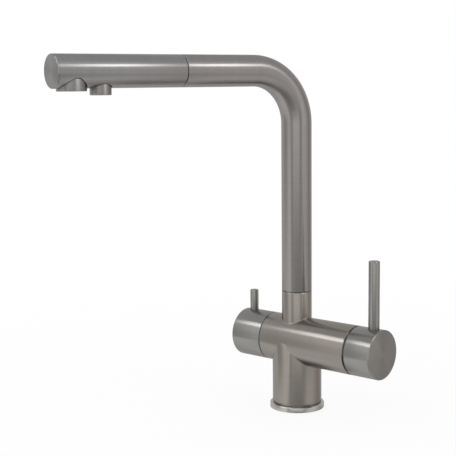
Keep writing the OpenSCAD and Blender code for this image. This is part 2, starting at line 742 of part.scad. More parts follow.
module spigot_groove(z, r, h) {
    translate([0, 0, z]) ring(spigot_r + over, r, h);
}

module swivel_spigot() color(brass) difference() {
    union() {
        translate([0, 0, neck_top_z - spigot_root]) cylinder(r = spigot_root_r, h = spigot_root + over);
        translate([0, 0, neck_top_z]) chamfered_bar(spigot_r, spigot_len, edge_chamfer);
    }
    translate([0, 0, neck_top_z - spigot_root - over])
        cylinder(r = passage_r, h = spigot_root + spigot_len + 2 * over);
    spigot_groove(lower_glide_z, glide_groove_r, glide_groove_h);
    spigot_groove(upper_glide_z, glide_groove_r, glide_groove_h);
    spigot_groove(lower_seal_z, seal_groove_r, seal_groove_h);
    spigot_groove(upper_seal_z, seal_groove_r, seal_groove_h);
    translate([0, 0, stop_z - stop_slot_h / 2]) rotate([0, 0, 90 - stop_slot_sweep / 2])
        rotate_extrude(angle = stop_slot_sweep) translate([stop_slot_r, 0])
            square([stop_slot_depth + over, stop_slot_h]);
}

module glide_rings() color(white_plastic)
    for (z = [lower_glide_z, upper_glide_z])
        translate([0, 0, z + (glide_groove_h - glide_h) / 2])
            ring(tube_in - run_fit, glide_groove_r + seat_fit, glide_h);

module swivel_seals() color(black_rubber)
    for (z = [lower_seal_z, upper_seal_z])
        translate([0, 0, z + seal_groove_h / 2])
            round_ring(seal_groove_r + swivel_ring_d / 2, swivel_ring_d / 2);

module neck_washer() color(dark_plastic)
    translate([0, 0, neck_top_z]) ring(tube_r - free_gap, spigot_r + seat_fit, washer_t);

// Plate of the cartridge with its two inlets and its outlet
module disc_ways(h) {
    for (side = [-1, 1])
        translate([side * inlet_y, inlet_up, -over]) cylinder(r = disc_way_r, h = h + 2 * over);
    translate([0, -outlet_down, -over]) cylinder(r = disc_way_r, h = h + 2 * over);
}

module cartridge_base() color(white_plastic) on_mixer(cartridge_seat_x) difference() {
    cylinder(r = housing_r, h = cartridge_base_t);
    translate([0, -outlet_down, -over]) cylinder(r = disc_way_r, h = cartridge_base_t + 2 * over);
    translate([0, -outlet_down, -over])
        cylinder(r = cartridge_seal_r + seat_fit, h = cartridge_seal_t + over);
    for (side = [-1, 1]) {
        drilling([side * mixer_body_inlet_y, inlet_up, 0],
            [side * inlet_y, inlet_up, cartridge_base_t + over / 2], disc_way_r);
        translate([side * mixer_body_inlet_y, inlet_up, -over])
            cylinder(r = cartridge_seal_r + seat_fit, h = cartridge_seal_t + over);
    }
}

module cartridge_seals() color(black_rubber) on_mixer(cartridge_seat_x)
    for (place = [[0, -outlet_down], [-mixer_body_inlet_y, inlet_up], [mixer_body_inlet_y, inlet_up]])
        translate([place[0], place[1], 0]) ring(cartridge_seal_r, mixer_way_d / 2, cartridge_seal_t);

module mixer_fixed_disc() color(white_ceramic) on_mixer(fixed_disc_x) difference() {
    cylinder(r = fixed_disc_r, h = fixed_disc_t);
    disc_ways(fixed_disc_t);
}

module cartridge_housing() color(grey_plastic) on_mixer(fixed_disc_x) difference() {
    cylinder(r = housing_r, h = nut_x - fixed_disc_x);
    translate([0, 0, -over]) cylinder(r = fixed_disc_r + seat_fit, h = fixed_disc_t + 2 * over);
    translate([0, 0, fixed_disc_t])
        cylinder(r = housing_in, h = housing_top_x - fixed_disc_x - fixed_disc_t);
    cylinder(r = guide_neck_r + free_gap, h = nut_x - fixed_disc_x + over);
}

module cartridge_nut() color(brass) on_mixer(nut_x) difference() {
    cylinder(r = nut_thread_r, h = ring_nut_len);
    translate([0, 0, -over]) cylinder(r = nut_in, h = ring_nut_len + 2 * over);
    for (turn = [0 : 60 : 120]) rotate([0, 0, turn])
        translate([-nut_thread_r - over, -nut_slot_w / 2, ring_nut_len - nut_slot_w])
            cube([2 * (nut_thread_r + over), nut_slot_w, nut_slot_w + over]);
}

module domed_ring() color(bright_steel) difference() {
    union() {
        difference() {
            intersection() {
                on_mixer(domed_ring_x) cylinder(r = nut_thread_r, h = mixer_end_x);
                pivot_ball(dome_r);
            }
            pivot_ball(dome_r - dome_t);
        }
        on_mixer(domed_ring_x)
            ring(nut_thread_r, nut_thread_r - dome_wall, dome_wall_end_x - domed_ring_x);
    }
    on_mixer(domed_ring_x - over) cylinder(r = stem_hole_r, h = mixer_end_x);
}

module stem_guide() color(white_plastic) difference() {
    union() {
        on_mixer(guide_x) cylinder(r = guide_flange_r, h = guide_flange_t);
        on_mixer(guide_x) cylinder(r = guide_neck_r, h = guide_end_x - guide_x);
    }
    on_mixer(guide_x - over) translate([-guide_slot_w / 2, -guide_slot_h / 2, 0])
        cube([guide_slot_w, guide_slot_h, guide_end_x - guide_x + 2 * over]);
    translate([pivot_x, guide_neck_r + over, barrel_z]) rotate([90, 0, 0])
        cylinder(r = pivot_pin_d / 2 + disc_film, h = 2 * (guide_neck_r + over));
}

module pivot_pin() color(bright_steel)
    translate([pivot_x, guide_neck_r - pivot_pin_inset, barrel_z]) rotate([90, 0, 0])
        cylinder(d = pivot_pin_d, h = 2 * (guide_neck_r - pivot_pin_inset));

module mixer_moving_disc() color(white_ceramic) on_mixer(moving_disc_x) difference() {
    cylinder(r = moving_disc_r, h = moving_disc_t);
    intersection() {
        translate([0, -disc_cup_down, -over]) cylinder(r = disc_cup_r, h = moving_disc_t / 2 + over);
        translate([0, 0, -over])
            cylinder(r = moving_disc_r - disc_rim, h = moving_disc_t / 2 + over);
    }
}

module disc_slider() color(grey_plastic) on_mixer(slider_x) difference() {
    cylinder(r = moving_disc_r - free_gap, h = slider_end_x - slider_x);
    translate([0, 0, ball_x - stem_ball_d / 2 - free_gap - slider_x])
        cylinder(r = ball_socket_r, h = stem_arm);
}

module mixer_stem() color(bright_steel) difference() {
    union() {
        on_mixer(pivot_x) translate([-stem_w / 2, -stem_w / 2, 0])
            cube([stem_w, stem_w, stem_end_x - pivot_x]);
        translate([pivot_x, stem_w / 2, barrel_z]) rotate([90, 0, 0])
            cylinder(r = stem_boss_r, h = stem_w);
        on_mixer(ball_x) cylinder(r = stem_neck_r, h = stem_arm);
        on_mixer(ball_x) sphere(d = stem_ball_d, $fn = 48);
    }
    translate([pivot_x, stem_w, barrel_z]) rotate([90, 0, 0])
        cylinder(r = pivot_pin_d / 2 + run_fit, h = 2 * stem_w);
}

// Hollow of a handle cap round its boss, with a bridge up to the lever pin
module cap_hollow(boss_r, length, pin_at, pin_r) {
    difference() {
        cylinder(r = barrel_r - cap_wall, h = length);
        translate([0, 0, -over]) cylinder(r = boss_r, h = length + 2 * over);
        translate([0, 0, pin_at]) rotate([-90, 0, 0]) cylinder(r = pin_r + pin_wall, h = barrel_r);
    }
}

module mixer_cap() color(steel) difference() {
    on_mixer(mixer_cap_x) chamfered_bar(barrel_r, mixer_cap_len, edge_chamfer);
    pivot_ball(cap_dome_r);
    on_mixer(mixer_cap_x)
        cap_hollow(mixer_boss_r, mixer_cap_len - cap_end_t, mixer_pin_x - mixer_cap_x, mixer_pin_d / 2);
    on_mixer(pivot_x) translate([-stem_w / 2 - seat_fit, -stem_w / 2 - seat_fit, 0])
        cube([stem_w + 2 * seat_fit, stem_w + 2 * seat_fit, stem_end_x - pivot_x + seat_fit]);
    translate([mixer_pin_x, 0, barrel_z]) cylinder(d = mixer_thread_d, h = barrel_r + over);
    translate([mixer_pin_x, 0, barrel_z + mixer_pin_seat])
        cylinder(r = mixer_pin_d / 2 + seat_fit, h = barrel_r);
}

module mixer_lever_pin() color(steel) translate([mixer_pin_x, 0, barrel_z]) {
    translate([0, 0, mixer_pin_seat])
        chamfered_bar(mixer_pin_d / 2, mixer_pin_len + barrel_r - mixer_pin_seat, edge_chamfer);
    translate([0, 0, stem_w / 2 + grub_len + grub_gap])
        cylinder(r = mixer_thread_d / 2 - seat_fit, h = mixer_pin_seat - stem_w / 2 - grub_len);
}

// Grub screw with a hexagon socket in its upper end
module grub_screw(d, length) {
    difference() {
        cylinder(r = d / 2 - seat_fit, h = length);
        translate([0, 0, length / 2]) cylinder(d = d / 2, h = length, $fn = 6);
    }
}

module mixer_grub_screw() color(bright_steel)
    translate([mixer_pin_x, 0, barrel_z + stem_w / 2]) grub_screw(mixer_thread_d, grub_len);

module filter_valve_body() color(brass) on_filter(0) difference() {
    union() {
        translate([0, 0, valve_start_x]) cylinder(r = valve_r, h = filter_end_x - valve_start_x);
        translate([0, 0, filter_end_x]) cylinder(r = valve_hex / sqrt(3), h = valve_hex_len, $fn = 6);
        translate([0, 0, filter_end_x]) cylinder(r = valve_neck_r, h = valve_end_x - filter_end_x);
    }
    translate([0, 0, valve_start_x - over])
        cylinder(r = valve_cage_r, h = valve_cage_end - valve_start_x + over);
    cylinder(r = spindle_d / 2 + run_fit, h = valve_end_x + over);
    for (side = [-1, 1])
        translate([0, 0, valve_window_x]) rotate([0, side * 90, 0])
            cylinder(r = valve_window_r, h = valve_r + over);
}

module filter_seat_seal() color(black_rubber)
    on_filter(valve_seat_x) ring(valve_disc_r, valve_disc_r - seat_seal_w, seat_seal_t);

// Ceramic disc with two openings on opposite sides
module valve_disc(h) {
    difference() {
        cylinder(r = valve_disc_r, h = h);
        for (side = [-1, 1])
            translate([side * valve_way_y, 0, -over]) cylinder(r = valve_way_r, h = h + 2 * over);
    }
}

module filter_fixed_disc() color(white_ceramic)
    on_filter(valve_fixed_x) valve_disc(valve_disc_t);

module filter_moving_disc() color(white_ceramic)
    on_filter(valve_moving_x) rotate([0, 0, 90]) valve_disc(valve_disc_t);

module filter_spindle() color(brass) on_filter(0) difference() {
    union() {
        translate([0, 0, spindle_x]) cylinder(r = valve_cage_r - free_gap, h = dog_t);
        translate([0, 0, spindle_x]) cylinder(d = spindle_d, h = spindle_end_x - spindle_x);
    }
    for (side = [-1, 1])
        translate([side * valve_cage_r, 0, spindle_x - over]) cylinder(r = dog_notch_r, h = dog_t + over);
    translate([0, 0, spindle_ring_x - spindle_groove_w / 2])
        ring(spindle_d, spindle_d / 2 - spindle_groove, spindle_groove_w);
    translate([0, 0, valve_end_x + disc_film])
        ring(spindle_d, spindle_d / 2 - clip_groove, clip_t + 2 * seat_fit);
}

module spindle_seal() color(black_rubber)
    on_filter(spindle_ring_x) round_ring(spindle_d / 2 + disc_film - spindle_ring_r, spindle_ring_r);

module spindle_clip() color(bright_steel) on_filter(valve_end_x + seat_fit) difference() {
    ring(spindle_d / 2 + clip_reach, spindle_d / 2 - clip_groove + seat_fit, clip_t - disc_film);
    translate([-clip_mouth / 2, -spindle_d, -over]) cube([clip_mouth, spindle_d, clip_t + 2 * over]);
}

module filter_cap() color(steel) difference() {
    on_filter(filter_cap_x) chamfered_bar(barrel_r, filter_cap_len, edge_chamfer);
    on_filter(filter_cap_x - over)
        cylinder(r = barrel_r - cap_wall, h = filter_boss_x - filter_cap_x + over);
    on_filter(filter_boss_x - over)
        cap_hollow(filter_boss_r, spindle_end_x - filter_boss_x + over,
            filter_pin_x - filter_boss_x + over, filter_pin_d / 2);
    on_filter(filter_boss_x - over)
        cylinder(r = socket_r, h = spindle_end_x - filter_boss_x + over + seat_fit);
    translate([-filter_pin_x, 0, barrel_z]) cylinder(d = filter_thread_d, h = barrel_r + over);
    translate([-filter_pin_x, 0, barrel_z + filter_pin_seat])
        cylinder(r = filter_pin_d / 2 + seat_fit, h = barrel_r);
}

module filter_lever_pin() color(steel) translate([-filter_pin_x, 0, barrel_z]) {
    translate([0, 0, filter_pin_seat])
        chamfered_bar(filter_pin_d / 2, filter_pin_len + barrel_r - filter_pin_seat, edge_chamfer);
    translate([0, 0, spindle_d / 2 + filter_grub_len + grub_gap])
        cylinder(r = filter_thread_d / 2 - seat_fit,
            h = filter_pin_seat - spindle_d / 2 - filter_grub_len);
}

module filter_grub_screw() color(bright_steel)
    translate([-filter_pin_x, 0, barrel_z + spindle_d / 2]) grub_screw(filter_thread_d, filter_grub_len);

// Bar or bore along the spout: up the riser, round the bend and out along the arm.
// off moves it away from the tube's centre line, towards the outside of the bend.
module spout_run(r, off, foot_z, end_s) {
    rotate([0, 0, spout_rest]) {
        translate([0, off, foot_z]) cylinder(r = r, h = bend_foot_z - foot_z);
        translate([0, -bend_r, bend_foot_z]) rotate([90, 0, 90])
            rotate_extrude(angle = 90) translate([bend_r + off, 0]) circle(r = r);
    }
    on_arm(bend_r) translate([0, off, 0]) cylinder(r = r, h = end_s - bend_r);
}

module spout_tube() color(steel) difference() {
    spout_run(tube_r, 0, tube_foot_z, arm_end_s);
    spout_run(tube_in, 0, tube_foot_z - over, arm_end_s + over);
    rotate([0, 0, spout_rest]) translate([0, 0, stop_z]) rotate([-90, 0, 0])
        cylinder(r = stop_screw_d / 2 + disc_film, h = tube_r + over);
}

module spout_stop_screw() color(bright_steel)
    rotate([0, 0, spout_rest]) translate([0, stop_slot_r + free_gap, stop_z]) rotate([-90, 0, 0])
        difference() {
            cylinder(d = stop_screw_d, h = tube_r - stop_screw_sink - stop_slot_r - free_gap);
            translate([0, 0, stop_socket_at]) cylinder(d = stop_screw_d / 2, h = tube_r, $fn = 6);
        }

module docking_bush() color(dark_plastic) {
    on_arm(arm_end_s - bush_len) ring(bush_out, bush_in, bush_len);
    on_arm(arm_end_s) ring(tube_r - free_gap, bush_in, flange_t);
}

module main_hose_riser() color(braid_grey) difference() {
    spout_run(hose_r, hose_off, hose_foot_z, hose_split_s);
    spout_run(hose_bore / 2, hose_off, hose_foot_z - over, hose_split_s + over);
}

module filter_tube_riser() color(blue_plastic) difference() {
    spout_run(line_r, line_off, plug_z, hose_split_s);
    spout_run(line_bore / 2, line_off, plug_z - over, hose_split_s + over);
}

module hose_foot_plug() color(brass)
    rotate([0, 0, spout_rest]) translate([0, hose_off, plug_z]) difference() {
        union() {
            translate([0, 0, plug_len - plug_collar_w]) cylinder(r = hose_r, h = plug_collar_w);
            cylinder(r = barb_r, h = plug_len + barb_len);
        }
        translate([0, 0, -over]) cylinder(r = barb_r - barb_wall, h = plug_len + barb_len + 2 * over);
        translate([0, 0, plug_groove_at]) ring(hose_r, barb_r - plug_groove_depth, plug_groove_w);
    }

module foot_ferrule() color(bright_steel)
    rotate([0, 0, spout_rest]) translate([0, hose_off, hose_foot_z])
        ring(ferrule_r, hose_r + seat_fit, barb_len);

// Pocket for an outlet, cut upwards from below the arm
module outlet_pocket(s, r, top) {
    under_arm(s, -tube_d) cylinder(r = r, h = tube_d - top);
}

module head_shell() color(steel) difference() {
    on_arm(head_s) cylinder(r = tube_r, h = plate_s - head_s);
    on_arm(head_s - over) cylinder(r = tube_in, h = plate_s - head_s + 2 * over);
    outlet_pocket(main_outlet_s, main_hole_r, main_nozzle_top - shell_cut);
    outlet_pocket(filter_outlet_s, filter_hole_r, filter_nozzle_top - shell_cut);
}

module head_end_plate() color(steel) {
    on_arm(plate_s) chamfered_bar(tube_r, end_plate_t, tip_chamfer);
    on_arm(plate_s - plate_plug_len)
        cylinder(r = tube_in - seat_fit, h = plate_plug_len + end_plate_t / 2);
}

module head_core() color(dark_plastic) difference() {
    union() {
        on_arm(tail_s) cylinder(r = tail_r, h = core_step_s - tail_s + over);
        on_arm(core_step_s) cylinder(r = core_r, h = core_end_s - core_step_s);
    }
    on_arm(docking_seal_s - docking_groove_w / 2)
        ring(tube_r, docking_ring_r - seal_section_r, docking_groove_w);
    on_arm(tail_s - over) translate([0, hose_off, 0])
        cylinder(r = way_pocket_r, h = valve_pocket_len + over);
    on_arm(tail_s) translate([0, hose_off, 0])
        cylinder(r = main_way_r, h = main_outlet_s + main_way_r - tail_s);
    on_arm(tail_s - over) translate([0, line_off, 0])
        cylinder(r = line_pocket_r, h = insert_len + free_gap + over);
    on_arm(tail_s) translate([0, line_off, 0])
        cylinder(r = line_way_r, h = filter_outlet_s + line_way_r - tail_s);
    outlet_pocket(main_outlet_s, main_hole_r, main_nozzle_top);
    outlet_pocket(main_outlet_s, main_neck_r + seat_fit, main_nozzle_top - main_neck_len);
    under_arm(main_outlet_s, -main_nozzle_top) cylinder(r = main_drop_r, h = main_nozzle_top + hose_off);
    outlet_pocket(filter_outlet_s, filter_hole_r, filter_nozzle_top);
    outlet_pocket(filter_outlet_s, filter_neck_r + seat_fit, filter_nozzle_top - filter_neck_len);
    under_arm(filter_outlet_s, -filter_nozzle_top)
        cylinder(r = line_way_r, h = filter_nozzle_top + line_off);
}

module docking_seal() color(black_rubber)
    on_arm(docking_seal_s) round_ring(docking_ring_r, seal_section_r);

module main_hose_arm() color(braid_grey)
    on_arm(hose_split_s) translate([0, hose_off, 0])
        ring(hose_r, hose_bore / 2, connector_s - hose_split_s);

module filter_tube_arm() color(blue_plastic)
    on_arm(hose_split_s) translate([0, line_off, 0])
        ring(line_r, line_bore / 2, connector_s - hose_split_s);

module head_ferrule() color(bright_steel)
    on_arm(connector_s - barb_len) translate([0, hose_off, 0])
        ring(ferrule_r, hose_r + seat_fit, barb_len);

// Hose end: a barb, a collar and a threaded end in one turned piece
module hose_end(collar_r, end_r, tip_r, bore_r) {
    difference() {
        union() {
            translate([0, 0, -barb_len]) cylinder(r = tip_r, h = barb_len + over);
            cylinder(r = collar_r, h = connector_len);
            translate([0, 0, connector_len - over]) cylinder(r = end_r, h = insert_len + over);
        }
        translate([0, 0, -barb_len - over])
            cylinder(r = bore_r, h = barb_len + connector_len + insert_len + 2 * over);
    }
}

module hose_connector() color(brass)
    on_arm(connector_s) translate([0, hose_off, 0])
        hose_end(hose_r - hose_collar_step, way_pocket_r - seat_fit, barb_r, barb_r - barb_wall);

module filter_connector() color(brass)
    on_arm(connector_s) translate([0, line_off, 0])
        hose_end(line_r + line_collar_step, line_pocket_r - seat_fit, line_barb_r,
            line_barb_r - line_barb_wall);

module check_valve() color(white_plastic)
    on_arm(tail_s + check_valve_at) translate([0, hose_off, 0]) difference() {
        cylinder(r = way_pocket_r - seat_fit, h = valve_len);
        for (turn = [0 : 120 : 240]) rotate([0, 0, turn])
            translate([check_way_at, 0, -over]) cylinder(r = check_way_r, h = valve_len + 2 * over);
    }

// Outlet turned from one bar: a collar with a cup below and a threaded neck above
module outlet(r, length, neck_r, neck_len, cup_r, cup_depth, bore_r) {
    difference() {
        union() {
            translate([0, 0, edge_chamfer]) cylinder(r = r, h = length - edge_chamfer);
            cylinder(r1 = r - edge_chamfer, r2 = r, h = edge_chamfer);
            cylinder(r = neck_r, h = length + neck_len);
        }
        translate([0, 0, -over]) cylinder(r = cup_r, h = cup_depth + over);
        cylinder(r = bore_r, h = length + neck_len + over);
    }
}

module main_nozzle() color(steel) under_arm(main_outlet_s, -main_nozzle_drop)
    outlet(main_nozzle_d / 2, main_nozzle_drop - main_nozzle_top, main_neck_r, main_neck_len - neck_room,
        main_cup_r, main_cup_depth, main_neck_r - main_neck_wall);

module aerator_washer() color(black_rubber)
    under_arm(main_outlet_s, main_cup_depth - main_nozzle_drop - washer_h)
        ring(aerator_r, main_neck_r - main_neck_wall, washer_h);

module aerator_housing() color(grey_plastic)
    under_arm(main_outlet_s, lip - main_nozzle_drop) difference() {
        cylinder(r = aerator_r, h = main_cup_depth - washer_h - lip);
        translate([0, 0, -over]) cylinder(r = aerator_r - screen_rim, h = screen_pocket + over);
        for (turn = [0 : 30 : 330]) rotate([0, 0, turn])
            translate([aerator_r - jet_inset, 0, 0]) cylinder(r = jet_r, h = main_cup_depth);
        for (turn = [0 : 60 : 300]) rotate([0, 0, turn])
            translate([aerator_r - jet_inset - jet_row_step, 0, 0]) cylinder(r = jet_r, h = main_cup_depth);
    }

// Disc with rings of holes round a middle hole
module perforated_disc(r, h, hole_r, pitch, rings) {
    difference() {
        cylinder(r = r, h = h);
        translate([0, 0, -over]) cylinder(r = hole_r, h = h + 2 * over, $fn = 24);
        for (row = [1 : rings])
            for (turn = [0 : 60 / row : 359]) rotate([0, 0, turn])
                translate([row * pitch, 0, -over]) cylinder(r = hole_r, h = h + 2 * over, $fn = 24);
    }
}

module aerator_screen() color(white_plastic)
    under_arm(main_outlet_s, lip + screen_pocket - screen_t - main_nozzle_drop)
        perforated_disc(aerator_r - screen_rim - seat_fit, screen_t, screen_hole_r, screen_pitch, 3);

module filter_nozzle() color(steel) under_arm(filter_outlet_s, -filter_nozzle_drop)
    outlet(filter_nozzle_d / 2, filter_nozzle_drop - filter_nozzle_top, filter_neck_r,
        filter_neck_len - neck_room, filter_cup_r, filter_cup_depth, filter_neck_r - filter_neck_wall);

module filter_washer() color(black_rubber)
    under_arm(filter_outlet_s, filter_cup_depth - filter_nozzle_drop - washer_h)
        ring(insert_r, filter_neck_r - filter_neck_wall, washer_h);

module filter_flow_insert() color(white_plastic)
    under_arm(filter_outlet_s, lip - filter_nozzle_drop)
        perforated_disc(insert_r, filter_cup_depth - washer_h - lip, insert_hole_r, insert_pitch, 2);

body();
base_ring();
base_gasket();
swivel_spigot();
glide_rings();
swivel_seals();
neck_washer();
cartridge_base();
cartridge_seals();
mixer_fixed_disc();
cartridge_housing();
cartridge_nut();
domed_ring();
stem_guide();
pivot_pin();
mixer_moving_disc();
disc_slider();
mixer_stem();
mixer_cap();
mixer_lever_pin();
mixer_grub_screw();
filter_valve_body();
filter_seat_seal();
filter_fixed_disc();
filter_moving_disc();
filter_spindle();
spindle_seal();
spindle_clip();
filter_cap();
filter_lever_pin();
filter_grub_screw();
spout_tube();
spout_stop_screw();
docking_bush();
main_hose_riser();
filter_tube_riser();
hose_foot_plug();
foot_ferrule();
head_shell();
head_end_plate();
head_core();
docking_seal();
main_hose_arm();
filter_tube_arm();
head_ferrule();
hose_connector();
filter_connector();
check_valve();
main_nozzle();
aerator_washer();
aerator_housing();
aerator_screen();
filter_nozzle();
filter_washer();
filter_flow_insert();
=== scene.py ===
import json
import math

import bmesh
import bpy
from bpy.props import FloatProperty, FloatVectorProperty, IntProperty, PointerProperty
from mathutils import Matrix, Vector


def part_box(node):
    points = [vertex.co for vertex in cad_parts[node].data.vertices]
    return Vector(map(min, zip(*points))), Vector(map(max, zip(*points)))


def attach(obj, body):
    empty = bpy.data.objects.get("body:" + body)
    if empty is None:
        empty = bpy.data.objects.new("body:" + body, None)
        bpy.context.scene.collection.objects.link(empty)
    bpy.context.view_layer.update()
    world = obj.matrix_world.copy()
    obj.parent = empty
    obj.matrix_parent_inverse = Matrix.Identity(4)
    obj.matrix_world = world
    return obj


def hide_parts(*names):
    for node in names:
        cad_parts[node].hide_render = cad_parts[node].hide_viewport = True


bl_info = {
    "name": "Kitchen mixer tap",
    "version": (1, 0, 0),
    "blender": (4, 5, 0),
    "location": "3D View > Sidebar > Mixer Tap",
    "description": "Brushed steel shells, handles, outlets, hoses and a plain studio for a kitchen mixer tap",
    "category": "Object",
}

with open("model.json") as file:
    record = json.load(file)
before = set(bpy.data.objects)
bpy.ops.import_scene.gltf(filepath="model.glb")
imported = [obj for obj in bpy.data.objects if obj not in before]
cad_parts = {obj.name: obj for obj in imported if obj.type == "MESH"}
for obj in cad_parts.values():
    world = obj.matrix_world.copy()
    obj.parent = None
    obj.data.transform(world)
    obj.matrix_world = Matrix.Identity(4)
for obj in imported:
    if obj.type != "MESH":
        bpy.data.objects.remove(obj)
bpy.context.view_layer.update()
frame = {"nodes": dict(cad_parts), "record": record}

UP = Vector((0, 0, 1))
AXIS_X = Vector((1, 0, 0))
SHARP_EDGE = math.radians(28)
WELD = 1e-6
LINE_LAYER = "brushing"

# How the properties show and limit a length, a very small one, an angle and a colour
LENGTH = {"precision": 4, "unit": "LENGTH", "subtype": "DISTANCE"}
FINE_LENGTH = {"precision": 5, "unit": "LENGTH", "subtype": "DISTANCE"}
ANGLE = {"unit": "ROTATION", "subtype": "ANGLE"}
COLOUR = {"size": 3, "min": 0, "max": 1, "subtype": "COLOR"}

# Lengths that several pieces share: the chamfer of a turned edge, the play between fitting pieces, the
# casting's step inside the foot ring, a cutter's reach past its cut, and both caps' wall and inner depth
CHAMFER = 0.0005
FIT_GAP = 0.00005
SPIGOT_STEP = 0.0017
OVERRUN = 0.001
CAP_WALL = 0.003
CAP_FACE = 0.0055

# Samples of the finish's edge rounding, the height that the softboxes face, and the camera's sensor in
# millimetres and clipping distances
EDGE_SAMPLES = 6
TARGET_HEIGHT = 0.15
SENSOR_WIDTH = 36
CLIP_RANGE = (0.05, 50)

# What the steel mirrors: the first and last bearing of each panel or flag, in degrees from straight
# ahead, and its brightness. From one to the next the light changes evenly
PANELS = (
    (-150, -80, 0.8),
    (-60, -40, 0.5),
    (-20, -10, 0.9),
    (0, 5, 0.5),
    (20, 55, 1.1),
    (70, 75, 0.5),
    (90, 120, 0.8),
    (145, 150, 0.5),
    (175, 178, 0.8),
)

# The table top below them, in the same way
TABLE = (
    (-150, -90, 0.8),
    (-60, -20, 1.0),
    (0, 5, 0.5),
    (30, 60, 0.35),
    (90, 120, 0.7),
    (150, 178, 0.5),
)


def corner(node, end):
    """A corner of a node's box at rest: end 0 is the lowest and end 1 the highest."""
    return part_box(node)[end]


# Sizes and colours


class TapSizes(bpy.types.PropertyGroup):
    """Sizes of the tap's outer shells. They agree with the frame that carries them."""

    tube_radius: FloatProperty(
        name="Tube radius", description="Outside radius of the spout, the neck and the pull-out head",
        default=0.014, min=0.01, max=0.02, **LENGTH)
    tube_wall: FloatProperty(
        name="Tube wall", description="Wall of the spout tube and of the head's shell",
        default=0.002, min=0.001, max=0.004, **LENGTH)
    bend_radius: FloatProperty(
        name="Bend radius", description="Radius of the bend, on the tube's centre line",
        default=0.048, min=0.03, max=0.08, **LENGTH)
    arm_height: FloatProperty(
        name="Arm height", description="Height of the arm's centre line above the worktop",
        default=0.315, min=0.2, max=0.4, **LENGTH)
    arm_turn: FloatProperty(
        name="Arm turn", description="How far the arm is turned from straight ahead at rest",
        default=math.radians(-15), **ANGLE)
    neck_top: FloatProperty(
        name="Neck top", description="Height of the seam that the spout turns on",
        default=corner("neck_washer", 0).z, **LENGTH)
    tube_foot: FloatProperty(
        name="Spout foot", description="Height of the spout tube's lower end",
        default=corner("neck_washer", 1).z, **LENGTH)
    arm_end: FloatProperty(
        name="Arm end", description="Distance from the tap's axis to the arm's mouth",
        default=0.1225, **LENGTH)
    head_start: FloatProperty(
        name="Head start", description="Distance from the tap's axis to the rear of the head's shell",
        default=0.1233, **LENGTH)
    head_tip: FloatProperty(
        name="Head tip", description="Distance from the tap's axis to the face of the end plate",
        default=0.2425, **LENGTH)
    plate_thickness: FloatProperty(
        name="End plate", description="Thickness of the disc that closes the head",
        default=0.0012, **LENGTH)
    barrel_radius: FloatProperty(
        name="Barrel radius", description="Outside radius of the cross barrel and of both caps",
        default=0.0225, min=0.02, max=0.03, **LENGTH)
    barrel_height: FloatProperty(
        name="Barrel height", description="Height of the barrel's axis above the worktop",
        default=0.064, **LENGTH)
    mixer_end: FloatProperty(
        name="Mixer end", description="Where the barrel's side ends towards the mixer handle",
        default=0.068, **LENGTH)
    filter_end: FloatProperty(
        name="Filter end", description="Where the barrel ends towards the filter handle",
        default=0.0278, **LENGTH)
    pivot: FloatProperty(
        name="Pivot", description="Where the mixer handle tilts, and the centre of the barrel's domed end",
        default=0.0476, **LENGTH)
    pillar_radius: FloatProperty(
        name="Pillar radius", description="Outside radius of the pillar",
        default=0.023, **LENGTH)
    foot_radius: FloatProperty(
        name="Foot radius", description="Radius of the base ring that stands on the worktop",
        default=corner("base_ring", 1).x, **LENGTH)
    foot_height: FloatProperty(
        name="Foot height", description="Height of the base ring's rim",
        default=0.005, **LENGTH)
    main_outlet: FloatProperty(
        name="Main outlet", description="Distance from the tap's axis to the main outlet",
        default=0.225, **LENGTH)
    filter_outlet: FloatProperty(
        name="Filter outlet", description="Distance from the tap's axis to the filtered-water outlet",
        default=0.199, **LENGTH)
    softening: FloatProperty(
        name="Softening", description="How far the brushing rounds off each edge",
        default=0.00018, min=0.00005, max=0.001, **FINE_LENGTH)
    sides: IntProperty(
        name="Sides", description="Number of faces round a full turn",
        default=160, min=48, max=256)


